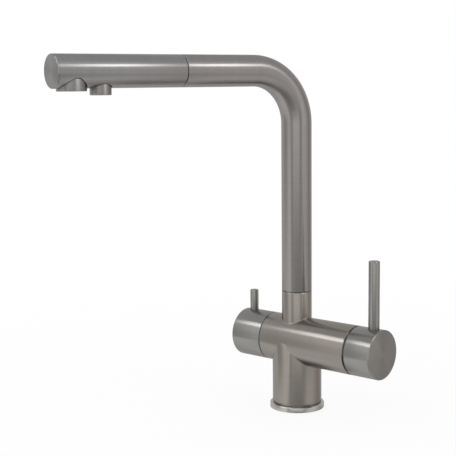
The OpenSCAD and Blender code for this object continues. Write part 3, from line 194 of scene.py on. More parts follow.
class TapFinish(bpy.types.PropertyGroup):
    """Colours and brushing of the tap's finishes."""

    spout_steel: FloatVectorProperty(
        name="Spout steel", description="Colour of the satin steel on the spout",
        default=(0.333, 0.3155, 0.306), **COLOUR)
    head_steel: FloatVectorProperty(
        name="Head steel", description="Colour of the slightly cooler satin steel on the pull-out head",
        default=(0.326, 0.3185, 0.313), **COLOUR)
    handle_steel: FloatVectorProperty(
        name="Handle steel", description="Colour of the satin steel on the handles",
        default=(0.326, 0.319, 0.304), **COLOUR)
    body_steel: FloatVectorProperty(
        name="Body steel", description="Colour of the slightly warmer satin steel on the casting",
        default=(0.340, 0.315, 0.282), **COLOUR)
    # Painted light: the foot ring's steel is a much lighter copy of the satin steel, painted bright to stand
    # in for the brighter reflections on the ring
    foot_steel: FloatVectorProperty(
        name="Foot steel", description="Colour of the brighter steel of the foot's ring",
        default=(0.53, 0.51, 0.485), **COLOUR)
    # Painted light: the outlets' colour is a tenth lighter than the handles' steel, a painted sheen standing
    # in for the highlight they catch; their higher roughness is real
    outlet_steel: FloatVectorProperty(
        name="Outlet steel", description="Colour of the two outlets' duller turned steel",
        default=(0.36, 0.352, 0.342), **COLOUR)
    outlet_roughness: FloatProperty(
        name="Outlet roughness", description="Mean roughness of the two outlets",
        default=0.42, min=0, max=1, subtype="FACTOR")
    edge_round: FloatProperty(
        name="Edge rounding", description="Radius to which the finish rounds an edge as it is seen",
        default=0.0008, **FINE_LENGTH)
    crease_round: FloatProperty(
        name="Crease rounding", description="The same in the creases of the casting",
        default=0.0018, **FINE_LENGTH)
    steel_edge: FloatVectorProperty(
        name="Steel at the rim", description="How much of the light the steel keeps at a grazing look",
        default=(0.75, 0.75, 0.75), **COLOUR)
    steel_roughness: FloatProperty(
        name="Steel roughness", description="Mean roughness of the brushed steel",
        default=0.26, min=0, max=1, subtype="FACTOR")
    steel_stretch: FloatProperty(
        name="Brushing stretch", description="How far the brushing draws a highlight out across its lines",
        default=0.92, min=0, max=1, subtype="FACTOR")
    line_pitch: FloatProperty(
        name="Line pitch", description="Mean spacing of the brushing lines",
        default=0.0003, **FINE_LENGTH)
    brass: FloatVectorProperty(
        name="Brass", description="Colour of the unplated brass inside the tap",
        default=(0.60, 0.40, 0.14), **COLOUR)
    rubber: FloatVectorProperty(
        name="Rubber", description="Colour of the seals",
        default=(0.022, 0.022, 0.023), **COLOUR)
    drinking_tube: FloatVectorProperty(
        name="Drinking-water tube", description="Colour of the filtered-water tube",
        default=(0.05, 0.15, 0.45), **COLOUR)


class StudioSettings(bpy.types.PropertyGroup):
    """Camera, lamps and floor."""

    camera_distance: FloatProperty(
        name="Camera distance", description="Distance of the camera from the tap's axis",
        default=1.01697, **LENGTH)
    camera_height: FloatProperty(
        name="Camera height", description="Height of the camera above the worktop",
        default=0.30277, **LENGTH)
    camera_side: FloatProperty(
        name="Camera side", description="How far round the tap the camera stands, from straight ahead",
        default=math.radians(38.327), **ANGLE)
    camera_yaw: FloatProperty(
        name="Camera yaw", description="How far the camera looks past the tap's axis",
        default=math.radians(-3.601), **ANGLE)
    camera_pitch: FloatProperty(
        name="Camera pitch", description="How far the camera looks down",
        default=math.radians(7.414), **ANGLE)
    camera_roll: FloatProperty(
        name="Camera roll", description="How far the camera is rolled",
        default=math.radians(-0.617), **ANGLE)
    lens: FloatProperty(
        name="Lens", description="Focal length for a sensor 36 mm wide",
        default=86.87, precision=2, subtype="DISTANCE_CAMERA")
    floor_colour: FloatVectorProperty(
        name="Floor", description="Colour of the studio floor",
        default=(0.86, 0.86, 0.86), **COLOUR)
    surroundings: FloatProperty(
        name="Surroundings", description="Strength of the white studio round the tap",
        default=0.9, min=0, max=2)
    ceiling: FloatProperty(
        name="Ceiling", description="Brightness of the studio above the tap as the steel mirrors it",
        default=0.62, min=0, max=1)
    cool_ceiling: FloatVectorProperty(
        name="Ceiling tint", description="Slightly cool light from above, as the steel mirrors it",
        default=(0.965, 0.975, 1.0), **COLOUR)
    warm_side: FloatVectorProperty(
        name="Side tint", description="Slightly warm mirrored light from the right and behind",
        default=(1.0, 0.95, 0.93), **COLOUR)
    near_white: FloatProperty(
        name="Near white", description="How far the floor by the foot is whitened for the camera",
        default=0.9, min=0, max=1, subtype="FACTOR")
    back_lamp: FloatProperty(
        name="Back lamp", description="Power of the softbox behind the tap on its right",
        default=2.9, min=0, unit="POWER")
    front_lamp: FloatProperty(
        name="Front lamp", description="Power of the softbox in front of the tap on its left",
        default=3.9, min=0, unit="POWER")


def sizes():
    return bpy.context.scene.tap_sizes


def finish():
    return bpy.context.scene.tap_finish


# Turning, sweeping and cutting


def turned(profile, closed=True):
    """Spins a profile of (radius, height) points once about Z. An open one starts and ends on the axis."""
    bm = bmesh.new()
    points = [bm.verts.new((radius, 0, height)) for radius, height in profile]
    pairs = list(zip(points, points[1:]))
    if closed:
        pairs.append((points[-1], points[0]))
    edges = [bm.edges.new(pair) for pair in pairs]
    bmesh.ops.spin(
        bm, geom=points + edges, cent=(0, 0, 0), axis=(0, 0, 1),
        angle=math.tau, steps=sizes().sides, use_merge=True)
    bmesh.ops.remove_doubles(bm, verts=bm.verts[:], dist=WELD)
    bmesh.ops.recalc_face_normals(bm, faces=bm.faces[:])
    return bm


def arc(radius, start, end, steps, centre):
    """Points (radius, height) of an arc between two angles off the axis, about a height on the axis."""
    angles = [start + (end - start) * step / steps for step in range(steps + 1)]
    return [(radius * math.sin(angle), centre + radius * math.cos(angle)) for angle in angles]


def soften(bm):
    """Rounds off the sharp edges, as the brushing does.

    Where a face is narrower than that, the bevel leaves edges of no length, which the weld takes out again.
    """
    sharp = [edge for edge in bm.edges if len(edge.link_faces) == 2 and edge.calc_face_angle(0) > SHARP_EDGE]
    bmesh.ops.bevel(
        bm, geom=sharp, offset=sizes().softening, offset_type="OFFSET", segments=2, profile=0.5,
        affect="EDGES", material=-1, clamp_overlap=True)
    bmesh.ops.remove_doubles(bm, verts=bm.verts[:], dist=WELD)


def moved(bm, matrix):
    bmesh.ops.transform(bm, matrix=matrix, verts=bm.verts[:])
    return bm


def along(origin, axis):
    """Matrix that lays a turned shape's Z along a level axis, from an origin, with its Y upright."""
    third = axis.normalized()
    first = UP.cross(third).normalized()
    second = third.cross(first)
    return Matrix.Translation(origin) @ Matrix((first, second, third)).transposed().to_4x4()


def arm_direction():
    turn = sizes().arm_turn
    return Vector((math.sin(turn), -math.cos(turn), 0))


def under_arm(distance, height):
    return Matrix.Translation(arm_direction() * distance + UP * height)


def on_barrel(towards=1):
    return along(UP * sizes().barrel_height, AXIS_X * towards)


def line_layer(bm):
    return bm.loops.layers.uv.get(LINE_LAYER) or bm.loops.layers.uv.new(LINE_LAYER)


def write_lines(bm, origin, axis):
    """UV map of the brushing: U runs round the axis, V along it in metres, or outwards on a flat end."""
    end_face, on_axis = 0.9, 1e-5
    layer = line_layer(bm)
    axis = axis.normalized()
    first = axis.orthogonal().normalized()
    second = axis.cross(first)
    bm.normal_update()
    for face in bm.faces:
        flat = abs(face.normal.dot(axis)) > end_face
        middle = face.calc_center_median() - origin
        middle_turn = math.atan2(middle.dot(second), middle.dot(first)) / math.tau
        for loop in face.loops:
            point = loop.vert.co - origin
            height = point.dot(axis)
            outwards = point - axis * height
            turn = middle_turn
            if outwards.length > on_axis:
                turn = math.atan2(outwards.dot(second), outwards.dot(first)) / math.tau
                turn += round(middle_turn - turn)
            loop[layer].uv = (turn, outwards.length if flat else height)
    return bm


def brushed(profile, origin=Vector(), axis=UP, place=Matrix.Identity(4), closed=True):
    """A turned shape with softened edges, put in its place, with the lines of its brushing round an axis."""
    bm = turned(profile, closed)
    soften(bm)
    return write_lines(moved(bm, place), origin, axis)


def pulled(bm, section, step):
    """Extrudes a section's faces by a step and gives the faces of its new end."""
    made = bmesh.ops.extrude_face_region(bm, geom=section)["geom"]
    bmesh.ops.translate(bm, verts=[item for item in made if isinstance(item, bmesh.types.BMVert)], vec=step)
    return [item for item in made if isinstance(item, bmesh.types.BMFace)]


def write_run_lines(bm, offset):
    """UV map of a swept run: U round its section and V along its centre line in metres."""
    size = sizes()
    bend_foot = size.arm_height - size.bend_radius
    layer = line_layer(bm)

    def place(point):
        if point.z <= bend_foot:
            return point.z, point.y - offset
        if point.y <= -size.bend_radius:
            length = bend_foot + size.bend_radius * math.pi / 2 - point.y - size.bend_radius
            return length, point.z - size.arm_height - offset
        across, rise = point.y + size.bend_radius, point.z - bend_foot
        outwards = math.hypot(across, rise) - size.bend_radius - offset
        return bend_foot + size.bend_radius * math.atan2(rise, across), outwards

    for face in bm.faces:
        middle = face.calc_center_median()
        middle_turn = math.atan2(middle.x, place(middle)[1]) / math.tau
        for loop in face.loops:
            length, outwards = place(loop.vert.co)
            turn = math.atan2(loop.vert.co.x, outwards) / math.tau
            loop[layer].uv = (turn + round(middle_turn - turn), length)


def swept_run(radius, wall, offset, foot, end):
    """A tube up the riser, round the bend and along the arm, at an offset from the spout's centre line."""
    size = sizes()
    bend_steps = 48
    bend_foot = size.arm_height - size.bend_radius
    bm = bmesh.new()
    bmesh.ops.create_circle(bm, cap_ends=True, segments=size.sides, radius=radius)
    bmesh.ops.translate(bm, verts=bm.verts[:], vec=(0, offset, foot))
    disc = bm.faces[:]
    bmesh.ops.inset_region(bm, faces=disc, thickness=wall, use_boundary=True, use_even_offset=True)
    bmesh.ops.delete(bm, geom=disc, context="FACES_ONLY")
    section = pulled(bm, bm.faces[:], (0, 0, bend_foot - foot))
    bent = bmesh.ops.spin(
        bm, geom=section, cent=(0, -size.bend_radius, bend_foot), axis=(1, 0, 0),
        angle=math.pi / 2, steps=bend_steps)["geom_last"]
    bent = [item for item in bent if isinstance(item, bmesh.types.BMFace)]
    pulled(bm, bent, (0, size.bend_radius - end, 0))
    bmesh.ops.delete(bm, geom=section + bent, context="FACES")
    bmesh.ops.recalc_face_normals(bm, faces=bm.faces[:])
    soften(bm)
    write_run_lines(bm, offset)
    return moved(bm, Matrix.Rotation(size.arm_turn, 4, "Z"))


def scratch_object(name, bm):
    mesh = bpy.data.meshes.new(name)
    bm.to_mesh(mesh)
    bm.free()
    scratch = bpy.data.objects.new(name, mesh)
    bpy.context.scene.collection.objects.link(scratch)
    return scratch


def carved(base, joined=(), cut=()):
    """Joins solids to a base and then cuts others out of it."""
    shortest_edge = 1e-7
    target = scratch_object("carving", base)
    tools = [(scratch_object("joined", bm), "UNION") for bm in joined]
    tools += [(scratch_object("cut", bm), "DIFFERENCE") for bm in cut]
    for tool, operation in tools:
        step = target.modifiers.new(operation.lower(), "BOOLEAN")
        step.object = tool
        step.operation = operation
        step.solver = "EXACT"
    bpy.context.view_layer.update()
    shape = target.evaluated_get(bpy.context.evaluated_depsgraph_get())
    bm = bmesh.new()
    bm.from_mesh(shape.to_mesh())
    shape.to_mesh_clear()
    for scratch in [target] + [tool for tool, operation in tools]:
        mesh = scratch.data
        bpy.data.objects.remove(scratch)
        bpy.data.meshes.remove(mesh)
    bmesh.ops.dissolve_degenerate(bm, edges=bm.edges[:], dist=shortest_edge)
    return bm


def bar(radius, start, end):
    """A plain round bar, to cut with."""
    return turned([(0, start), (radius, start), (radius, end), (0, end)], closed=False)


def add_piece(name, bm, body, material, node):
    """Turns a finished shape into a piece that rides on a body in place of one of the frame's nodes."""
    mesh = bpy.data.meshes.new(name)
    bm.to_mesh(mesh)
    bm.free()
    mesh.polygons.foreach_set("use_smooth", [True] * len(mesh.polygons))
    mesh.set_sharp_from_angle(angle=SHARP_EDGE)
    mesh.materials.append(material)
    piece = bpy.data.objects.new(name, mesh)
    bpy.context.scene.collection.objects.link(piece)
    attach(piece, body)
    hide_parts(node)


# Finishes


class Nodes:
    """A node tree, built link by link."""

    def __init__(self, tree):
        self.tree = tree

    def node(self, kind, values=None, **settings):
        made = self.tree.nodes.new(kind)
        for key, value in settings.items():
            setattr(made, key, value)
        for key, value in (values or {}).items():
            made.inputs[key].default_value = value
        return made

    def link(self, source, target):
        """Links a target socket to a source socket, or sets it where the source is a plain value."""
        if isinstance(source, bpy.types.NodeSocket):
            self.tree.links.new(source, target)
        else:
            target.default_value = source

    def split(self, source):
        step = self.node("ShaderNodeSeparateXYZ")
        self.link(source, step.inputs["Vector"])
        return step.outputs

    def spread(self, source, low=0.0, high=1.0, source_low=0.3, source_high=0.7):
        step = self.node("ShaderNodeMapRange", {
            "From Min": source_low, "From Max": source_high, "To Min": low, "To Max": high})
        self.link(source, step.inputs["Value"])
        return step.outputs["Result"]

    def math(self, operation, first, second):
        step = self.node("ShaderNodeMath", operation=operation)
        for index, value in enumerate((first, second)):
            self.link(value, step.inputs[index])
        return step.outputs["Value"]

    def mixed(self, share, first, second, kind="RGBA"):
        step = self.node("ShaderNodeMix", data_type=kind)
        for key, value in (("Factor", share), ("A", first), ("B", second)):
            self.link(value, step.inputs[key])
        return step.outputs["Result"]


class Finish(Nodes):
    """One material's nodes, round its principled shader."""

    def __init__(self, name):
        self.material = bpy.data.materials.new(name)
        self.material.use_nodes = True
        super().__init__(self.material.node_tree)
        self.shader = self.tree.nodes["Principled BSDF"]

    def set(self, **values):
        for key, value in values.items():
            self.link(value, self.shader.inputs[key.replace("_", " ").title()])

    def object_place(self):
        return self.node("ShaderNodeTexCoord").outputs["Object"]

    def line_parts(self):
        return self.split(self.node("ShaderNodeUVMap", uv_map=LINE_LAYER).outputs["UV"])

    def scaled(self, source, scale):
        step = self.node("ShaderNodeMapping", {"Scale": scale})
        self.link(source, step.inputs["Vector"])
        return step.outputs["Vector"]

    def noise(self, source, scale, detail=2.0, roughness=0.5):
        step = self.node("ShaderNodeTexNoise", {"Scale": scale, "Detail": detail, "Roughness": roughness})
        self.link(source, step.inputs["Vector"])
        return step.outputs["Fac"]

    def bump(self, height, strength, depth, edge_round=0.0):
        step = self.node("ShaderNodeBump", {"Strength": strength, "Distance": depth})
        self.link(height, step.inputs["Height"])
        if edge_round:
            rounded = self.node("ShaderNodeBevel", {"Radius": edge_round}, samples=EDGE_SAMPLES)
            self.link(rounded.outputs["Normal"], step.inputs["Normal"])
        self.set(normal=step.outputs["Normal"])


def shaded(colour, share=1.0):
    return (*(channel * share for channel in colour), 1)


def line_place(made, slow, pitch):
    """Place on the brushing: quick along the piece's length and slow everywhere else."""
    quick = made.node("ShaderNodeCombineXYZ")
    made.link(made.math("DIVIDE", made.line_parts()["Y"], pitch), quick.inputs["Z"])
    total = made.node("ShaderNodeVectorMath", operation="ADD")
    made.link(made.scaled(made.object_place(), (slow, slow, slow)), total.inputs[0])
    made.link(quick.outputs["Vector"], total.inputs[1])
    return total.outputs["Vector"]


def brushed_steel(name, colour, roughness, edge_round, painted_shade_start=None):
    """Satin steel with fine lines round each tube, faint broader bands and soft cloudy patches.

    Beyond the distance given last, along the barrel, the casting's ball end is painted darker: painted shade
    standing in for the shadow inside the handle's gap.
    """
    look = finish()
    # The third share sets how dark the painted shade on the casting's ball end is
    tone_change, roughness_change, painted_shade_share = 0.06, 0.015, 0.3
    band_pitch = look.line_pitch * 9
    line_strength, line_depth = 0.04, 0.000003
    made = Finish(name)
    fine = made.noise(line_place(made, 55.0, look.line_pitch), 1.0, detail=3.0, roughness=0.6)
    bands = made.noise(line_place(made, 22.0, band_pitch), 1.0)
    clouds = made.noise(made.object_place(), 26.0, detail=3.0, roughness=0.55)
    tone = made.math("ADD", made.math("MULTIPLY", fine, 0.5), made.math("MULTIPLY", bands, 0.3))
    tone = made.math("ADD", tone, made.math("MULTIPLY", clouds, 0.2))
    shade = made.mixed(made.spread(tone), shaded(colour, 1 - tone_change), shaded(colour, 1 + tone_change))
    # Painted shade: past the given distance the colour drops to a dark copy, for the shadow inside the
    # handle's gap
    if painted_shade_start is not None:
        inside = made.math("GREATER_THAN", made.split(made.object_place())["X"], painted_shade_start)
        shade = made.mixed(inside, shade, shaded(colour, painted_shade_share))
    tangent = made.node("ShaderNodeTangent", direction_type="UV_MAP", uv_map=LINE_LAYER)
    made.set(
        base_color=shade, metallic=1.0, specular_tint=shaded(look.steel_edge),
        roughness=made.spread(tone, roughness - roughness_change, roughness + roughness_change),
        anisotropic=look.steel_stretch, anisotropic_rotation=0.25, tangent=tangent.outputs["Tangent"])
    relief = made.math("ADD", fine, made.math("MULTIPLY", bands, 0.4))
    made.bump(relief, line_strength, line_depth, edge_round)
    return made.material


def steel(name):
    """The brushed steel of the spout, the head or the handles, made once for all their pieces."""
    look = finish()
    made = bpy.data.materials.get(name)
    return made or brushed_steel(name, getattr(look, name), look.steel_roughness, look.edge_round)


def body_steel():
    """The casting's is slightly warmer, with painted shade on the ball end inside the handle's gap."""
    look = finish()
    # The painted shade starts just short of the barrel's rim, so the rim keeps the plain steel colour
    rim_outside_painted_shade = 0.00015
    painted_shade_start = sizes().mixer_end - rim_outside_painted_shade
    return brushed_steel("body_steel", look.body_steel, look.steel_roughness, look.crease_round, painted_shade_start)


def turned_metal(name, colour, roughness, pitch, edge):
    """Turned or drawn metal inside the tap: faint tool marks, tarnish and a slightly uneven polish."""
    tarnished = 0.82
    made = Finish(name)
    place = made.object_place()
    marks = made.noise(made.scaled(place, (1 / pitch, 1 / pitch, 1 / pitch)), 1.0, roughness=0.6)
    tarnish = made.noise(place, 90.0, detail=4.0, roughness=0.6)
    polish = made.spread(made.math("ADD", marks, tarnish), roughness - 0.05, roughness + 0.1, 0.7, 1.3)
    made.set(
        base_color=made.mixed(made.spread(tarnish), shaded(colour, tarnished), shaded(colour)),
        roughness=polish, metallic=1.0, specular_tint=(edge, edge, edge, 1))
    made.bump(marks, 0.25, 0.00002)
    return made.material


def moulded(name, colour, roughness):
    """Moulded plastic or rubber: a fine eroded grain, slight flow marks and a trace of colour change."""
    grain, grain_depth = 0.00035, 0.00003
    darker, lighter = 0.88, 1.06
    made = Finish(name)
    place = made.object_place()
    speckle = made.noise(place, 1 / grain, roughness=0.6)
    flow = made.noise(made.scaled(place, (1.0, 1.0, 0.35)), 60.0, detail=3.0)
    made.set(
        base_color=made.mixed(made.spread(flow), shaded(colour, darker), shaded(colour, lighter)),
        roughness=made.spread(speckle, roughness - 0.06, roughness + 0.08))
    made.bump(speckle, 0.3, grain_depth)
    return made.material


def lapped_ceramic():
    """White alumina with a lapped face: very fine grain and a low sheen."""
    made = Finish("lapped_ceramic")
    place = made.object_place()
    grain = made.noise(place, 2600.0)
    cast = made.noise(place, 45.0)
    made.set(
        base_color=made.mixed(made.spread(cast), (0.76, 0.74, 0.69, 1), (0.83, 0.82, 0.78, 1)),
        roughness=made.spread(grain, 0.12, 0.24))
    made.bump(grain, 0.15, 0.000008)
    return made.material


def braided_sheath():
    """Grey braid of crossing strands, which follows the hose by its own UV map."""
    strands_round, strands_per_metre = 12.0, 340.0
    gap_grey, strand_grey = (0.035, 0.036, 0.038, 1), (0.26, 0.265, 0.275, 1)
    made = Finish("braided_sheath")
    parts = made.line_parts()
    turn = made.math("MULTIPLY", parts["X"], strands_round)
    length = made.math("MULTIPLY", parts["Y"], strands_per_metre)

    def strand(operation):
        wave = made.math("SINE", made.math("MULTIPLY", made.math(operation, turn, length), math.tau), 0.0)
        return made.math("MULTIPLY", made.math("ADD", wave, 1.0), 0.5)

    over = made.math("MAXIMUM", strand("ADD"), strand("SUBTRACT"))
    fibre = made.noise(made.object_place(), 3800.0, roughness=0.6)
    height = made.math("ADD", over, made.math("MULTIPLY", fibre, 0.25))
    made.set(
        base_color=made.mixed(made.spread(height, 0.0, 1.0, 0.4, 1.2), gap_grey, strand_grey),
        roughness=made.spread(fibre, 0.42, 0.62))
    made.bump(height, 0.7, 0.00018)
    return made.material


# Pieces


class TAP_OT_foot(bpy.types.Operator):
    """Base ring on the worktop"""

    bl_idname = "tap.foot"
    bl_label = "Foot ring"

    rim_chamfer: FloatProperty(
        name="Rim chamfer", description="Chamfer round the top of the foot's rim",
        default=0.0008, **LENGTH)

    def execute(self, context):
        size = sizes()
        look = finish()
        shadow_gap, gasket_width = 0.0008, 0.002
        bore = size.pillar_radius - SPIGOT_STEP + FIT_GAP
        collar = size.pillar_radius - shadow_gap
        collar_top = corner("base_ring", 1).z
        gasket = corner("base_gasket", 1)
        groove_in, groove_out = gasket.x - gasket_width - FIT_GAP, gasket.x + FIT_GAP
        ring = brushed([
            (bore, 0), (groove_in, 0), (groove_in, gasket.z), (groove_out, gasket.z), (groove_out, 0),
            (size.foot_radius, 0), (size.foot_radius, size.foot_height - self.rim_chamfer),
            (size.foot_radius - self.rim_chamfer, size.foot_height), (collar, size.foot_height),
            (collar, collar_top), (bore, collar_top)])
        # The foot ring's colour is a lighter copy of the satin steel: painted reflection light
        foot_steel = brushed_steel("foot_steel", look.foot_steel, look.steel_roughness, look.edge_round)
        add_piece("foot_ring", ring, "tap_body", foot_steel, "base_ring")
        return {"FINISHED"}


class TAP_OT_casting(bpy.types.Operator):
    """Pillar, cross barrel and neck in one casting, with its bores"""

    bl_idname = "tap.casting"
    bl_label = "Body casting"

    recess_radius: FloatProperty(
        name="Foot recess", description="Radius of the recess under the foot",
        default=0.0195, **LENGTH)
    recess_depth: FloatProperty(
        name="Recess depth", description="Depth of the recess under the foot",
        default=0.014, **LENGTH)
    passage_radius: FloatProperty(
        name="Hose passage", description="Radius of the passage for the hoses",
        default=0.0091, **LENGTH)
    nut_bore: FloatProperty(
        name="Nut bore", description="Radius of the bore in the barrel's domed end",
        default=0.01925, **LENGTH)

    def pillar(self):
        size = sizes()
        foot_top = corner("base_ring", 1).z
        spigot = size.pillar_radius - SPIGOT_STEP
        return brushed([
            (0, 0), (spigot, 0), (spigot, foot_top), (size.pillar_radius, foot_top),
            (size.pillar_radius, size.barrel_height), (0, size.barrel_height)], closed=False)

    def barrel(self):
        """The cross barrel, whose end towards the mixer handle is part of a ball round the handle's pivot."""
        size = sizes()
        rim_edge, side_edge, ball_steps = 0.0003, 0.0001, 24
        ball = math.hypot(size.mixer_end - size.pivot, size.barrel_radius)
        rim = size.barrel_radius - rim_edge
        profile = [(0, -size.filter_end), (size.barrel_radius, -size.filter_end)]
        profile += [(size.barrel_radius, size.mixer_end - side_edge), (rim, size.mixer_end)]
        profile += arc(ball, math.asin(rim / ball), 0.0, ball_steps, size.pivot)[1:]
        return brushed(profile, UP * size.barrel_height, AXIS_X, on_barrel(), closed=False)

    def neck(self):
        size = sizes()
        return brushed([
            (0, size.barrel_height), (size.tube_radius, size.barrel_height),
            (size.tube_radius, size.neck_top), (0, size.neck_top)], closed=False)

    def bores(self):
        """Cutters for the recess, the passage, the seats in neck and barrel, the ports and the stud holes."""
        size = sizes()
        swivel_bore, swivel_depth = 0.0106, 0.019
        nut_start, nut_end = 0.05, 0.09
        valve_bore, valve_start, valve_end = 0.0079, 0.012, 0.04
        hole_circle = 0.0144
        port_radius, port_top = 0.0035, 0.024
        stud_radius, stud_top = 0.0025, 0.026
        half_facet = Matrix.Rotation(math.pi / size.sides, 4, "Z")

        def cutter(radius, start, end, place=Matrix.Identity(4)):
            """A bar with facets half a step off the casting's, so that no edge of it falls on one of those."""
            return write_lines(moved(bar(radius, start, end), place @ half_facet), Vector(), UP)

        cuts = [
            cutter(self.recess_radius, -OVERRUN, self.recess_depth),
            cutter(self.passage_radius, -OVERRUN, size.neck_top + OVERRUN),
            cutter(swivel_bore, size.neck_top - swivel_depth, size.neck_top + OVERRUN),
            cutter(self.nut_bore, nut_start, nut_end, on_barrel()),
            cutter(valve_bore, valve_start, valve_end, on_barrel(-1)),
        ]
        holes = [(angle, port_radius, port_top) for angle in (0, 40, -40, 128, -128)]
        holes += [(angle, stud_radius, stud_top) for angle in (-90, 90)]
        for angle, radius, top in holes:
            turn = math.radians(angle)
            place = Matrix.Translation((hole_circle * math.cos(turn), hole_circle * math.sin(turn), 0))
            cuts.append(cutter(radius, self.recess_depth - OVERRUN, top, place))
        return cuts

    def execute(self, context):
        casting = carved(self.pillar(), joined=[self.barrel(), self.neck()], cut=self.bores())
        add_piece("body_casting", casting, "tap_body", body_steel(), "body")
        return {"FINISHED"}


class TAP_OT_spout(bpy.types.Operator):
    """Spout tube: riser, bend and the arm up to the pull-out head"""

    bl_idname = "tap.spout"
    bl_label = "Spout tube"

    def execute(self, context):
        size = sizes()
        screw_hole, hole_start, hole_end = 0.00202, 0.005, 0.02
        tube = swept_run(size.tube_radius, size.tube_wall, 0.0, size.tube_foot, size.arm_end)
        low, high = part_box("spout_stop_screw")
        height = (low.z + high.z) / 2
        hole = moved(bar(screw_hole, hole_start, hole_end), along(UP * height, -arm_direction()))
        add_piece("spout_shell", carved(tube, cut=[hole]), "spout", steel("spout_steel"), "spout_tube")
        return {"FINISHED"}


class TAP_OT_head(bpy.types.Operator):
    """Pull-out head: its shell with two saddle-shaped openings, and the disc that closes it"""

    bl_idname = "tap.head"
    bl_label = "Pull-out head"

    main_opening: FloatProperty(
        name="Main opening", description="Radius of the opening round the main outlet",
        default=0.0128, **LENGTH)
    filter_opening: FloatProperty(
        name="Filter opening", description="Radius of the opening round the filtered-water outlet",
        default=0.0093, **LENGTH)

    def openings(self):
        size = sizes()
        cut_start = size.arm_height - 0.03
        cuts = []
        # Outlet, radius of its opening, its distance, and how far the opening goes up from the outlet's rim
        for node, radius, distance, rise in (
            ("main_nozzle", self.main_opening, size.main_outlet, 0.0108),
            ("filter_nozzle", self.filter_opening, size.filter_outlet, 0.0102),
        ):
            cut = moved(bar(radius, cut_start, corner(node, 0).z + rise), under_arm(distance, 0))
            cuts.append(write_lines(cut, arm_direction() * size.main_outlet, UP))
        return cuts

    def execute(self, context):
        size = sizes()
        plug_depth = 0.0024
        radius, bore = size.tube_radius, size.tube_radius - size.tube_wall
        plug = bore - FIT_GAP
        tip, plate_start = size.head_tip, size.head_tip - size.plate_thickness
        arm = UP * size.arm_height
        on_arm = along(arm, arm_direction())
        shell = brushed(
            [(bore, size.head_start), (radius, size.head_start), (radius, plate_start), (bore, plate_start)],
            arm, arm_direction(), on_arm)
        plate = brushed([
            (0, plate_start - plug_depth), (plug, plate_start - plug_depth), (plug, plate_start),
            (radius, plate_start), (radius, tip - CHAMFER), (radius - CHAMFER, tip), (0, tip)],
            arm, arm_direction(), on_arm, closed=False)
        shell = carved(shell, cut=self.openings())
        add_piece("head_casing", shell, "pull_out_head", steel("head_steel"), "head_shell")
        add_piece("head_disc", plate, "pull_out_head", steel("head_steel"), "head_end_plate")
        return {"FINISHED"}


class TAP_OT_outlets(bpy.types.Operator):
    """The wide main outlet and the longer filtered-water nozzle under the head"""

    bl_idname = "tap.outlets"
    bl_label = "Outlets"

    def execute(self, context):
        size = sizes()
        look = finish()
        cup_depth = 0.0076
        # The outlets' material is the rougher steel with a lighter colour: painted sheen
        duller = brushed_steel("outlet_steel", look.outlet_steel, look.outlet_roughness, look.edge_round)
        # Piece, node, distance, then the radii of rim, cup, neck and the neck's bore, and the neck's length
        for name, node, distance, rim, cup, neck, bore, neck_length in (
            ("main_collar", "main_nozzle", size.main_outlet, 0.0125, 0.0104, 0.009, 0.007, 0.0038),
            ("filter_spray", "filter_nozzle", size.filter_outlet, 0.009, 0.0066, 0.006, 0.0034, 0.0024),
        ):
            low = corner(node, 0).z
            height = corner(node, 1).z - low
            step = height - neck_length
            shape = brushed([
                (cup, 0), (rim - CHAMFER, 0), (rim, CHAMFER), (rim, step), (neck, step), (neck, height),
                (bore, height), (bore, cup_depth), (cup, cup_depth)],
                arm_direction() * distance, UP, under_arm(distance, low))
            add_piece(name, shape, "pull_out_head", duller, node)
        return {"FINISHED"}


def add_handle(body, cap, cap_names, pin_names, seat_depth, thread):
    """Bores a cap for its lever pin and adds both. Each pair of names is a piece's and its node's."""
    size = sizes()
    hole_length = 0.02
    low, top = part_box(pin_names[1])
    radius = (top.x - low.x) / 2
    centre = Vector(((low.x + top.x) / 2, 0, 0))
    place = Matrix.Translation(centre)
    seat = size.barrel_height + size.barrel_radius - seat_depth
    hole = moved(bar(radius + FIT_GAP, seat, seat + hole_length), place)
    write_lines(hole, centre, UP)
    pin = brushed([
        (0, low.z), (thread, low.z), (thread, seat), (radius, seat),
        (radius, top.z - CHAMFER), (radius - CHAMFER, top.z), (0, top.z)], centre, UP, place, closed=False)
    for (name, node), shape in ((cap_names, carved(cap, cut=[hole])), (pin_names, pin)):
        add_piece(name, shape, body, steel("handle_steel"), node)


class TAP_OT_mixer_handle(bpy.types.Operator):
    """Mixer handle: the cap with its hollow rim and flat face, and the tall pin"""

    bl_idname = "tap.mixer_handle"
    bl_label = "Mixer handle"

    def execute(self, context):
        size = sizes()
        radius, end = size.barrel_radius, corner("mixer_cap", 1).x
        ball_gap, rim_land, face, rim_steps, boss_steps = 0.001, 0.00035, 0.005, 6, 4
        boss, socket = 0.008, 0.0051
        ball = math.hypot(size.mixer_end - size.pivot, radius) + ball_gap
        rim, hollow = radius - rim_land, radius - CAP_WALL
        rim_start = size.pivot + math.sqrt(ball ** 2 - rim ** 2)
        profile = [(0, end), (radius - CHAMFER, end), (radius, end - CHAMFER), (radius, rim_start)]
        profile += arc(ball, math.asin(rim / ball), math.asin(hollow / ball), rim_steps, size.pivot)
        profile += [(hollow, end - face), (boss, end - face)]
        profile += arc(ball, math.asin(boss / ball), math.asin(socket / ball), boss_steps, size.pivot)
        profile += [(socket, end - CAP_FACE), (0, end - CAP_FACE)]
        cap = brushed(profile, UP * size.barrel_height, AXIS_X, on_barrel(), closed=False)
        add_handle(
            "mixer_handle", cap, ("mixer_cap_shell", "mixer_cap"), ("mixer_pin", "mixer_lever_pin"),
            seat_depth=0.003, thread=0.00295)
        return {"FINISHED"}


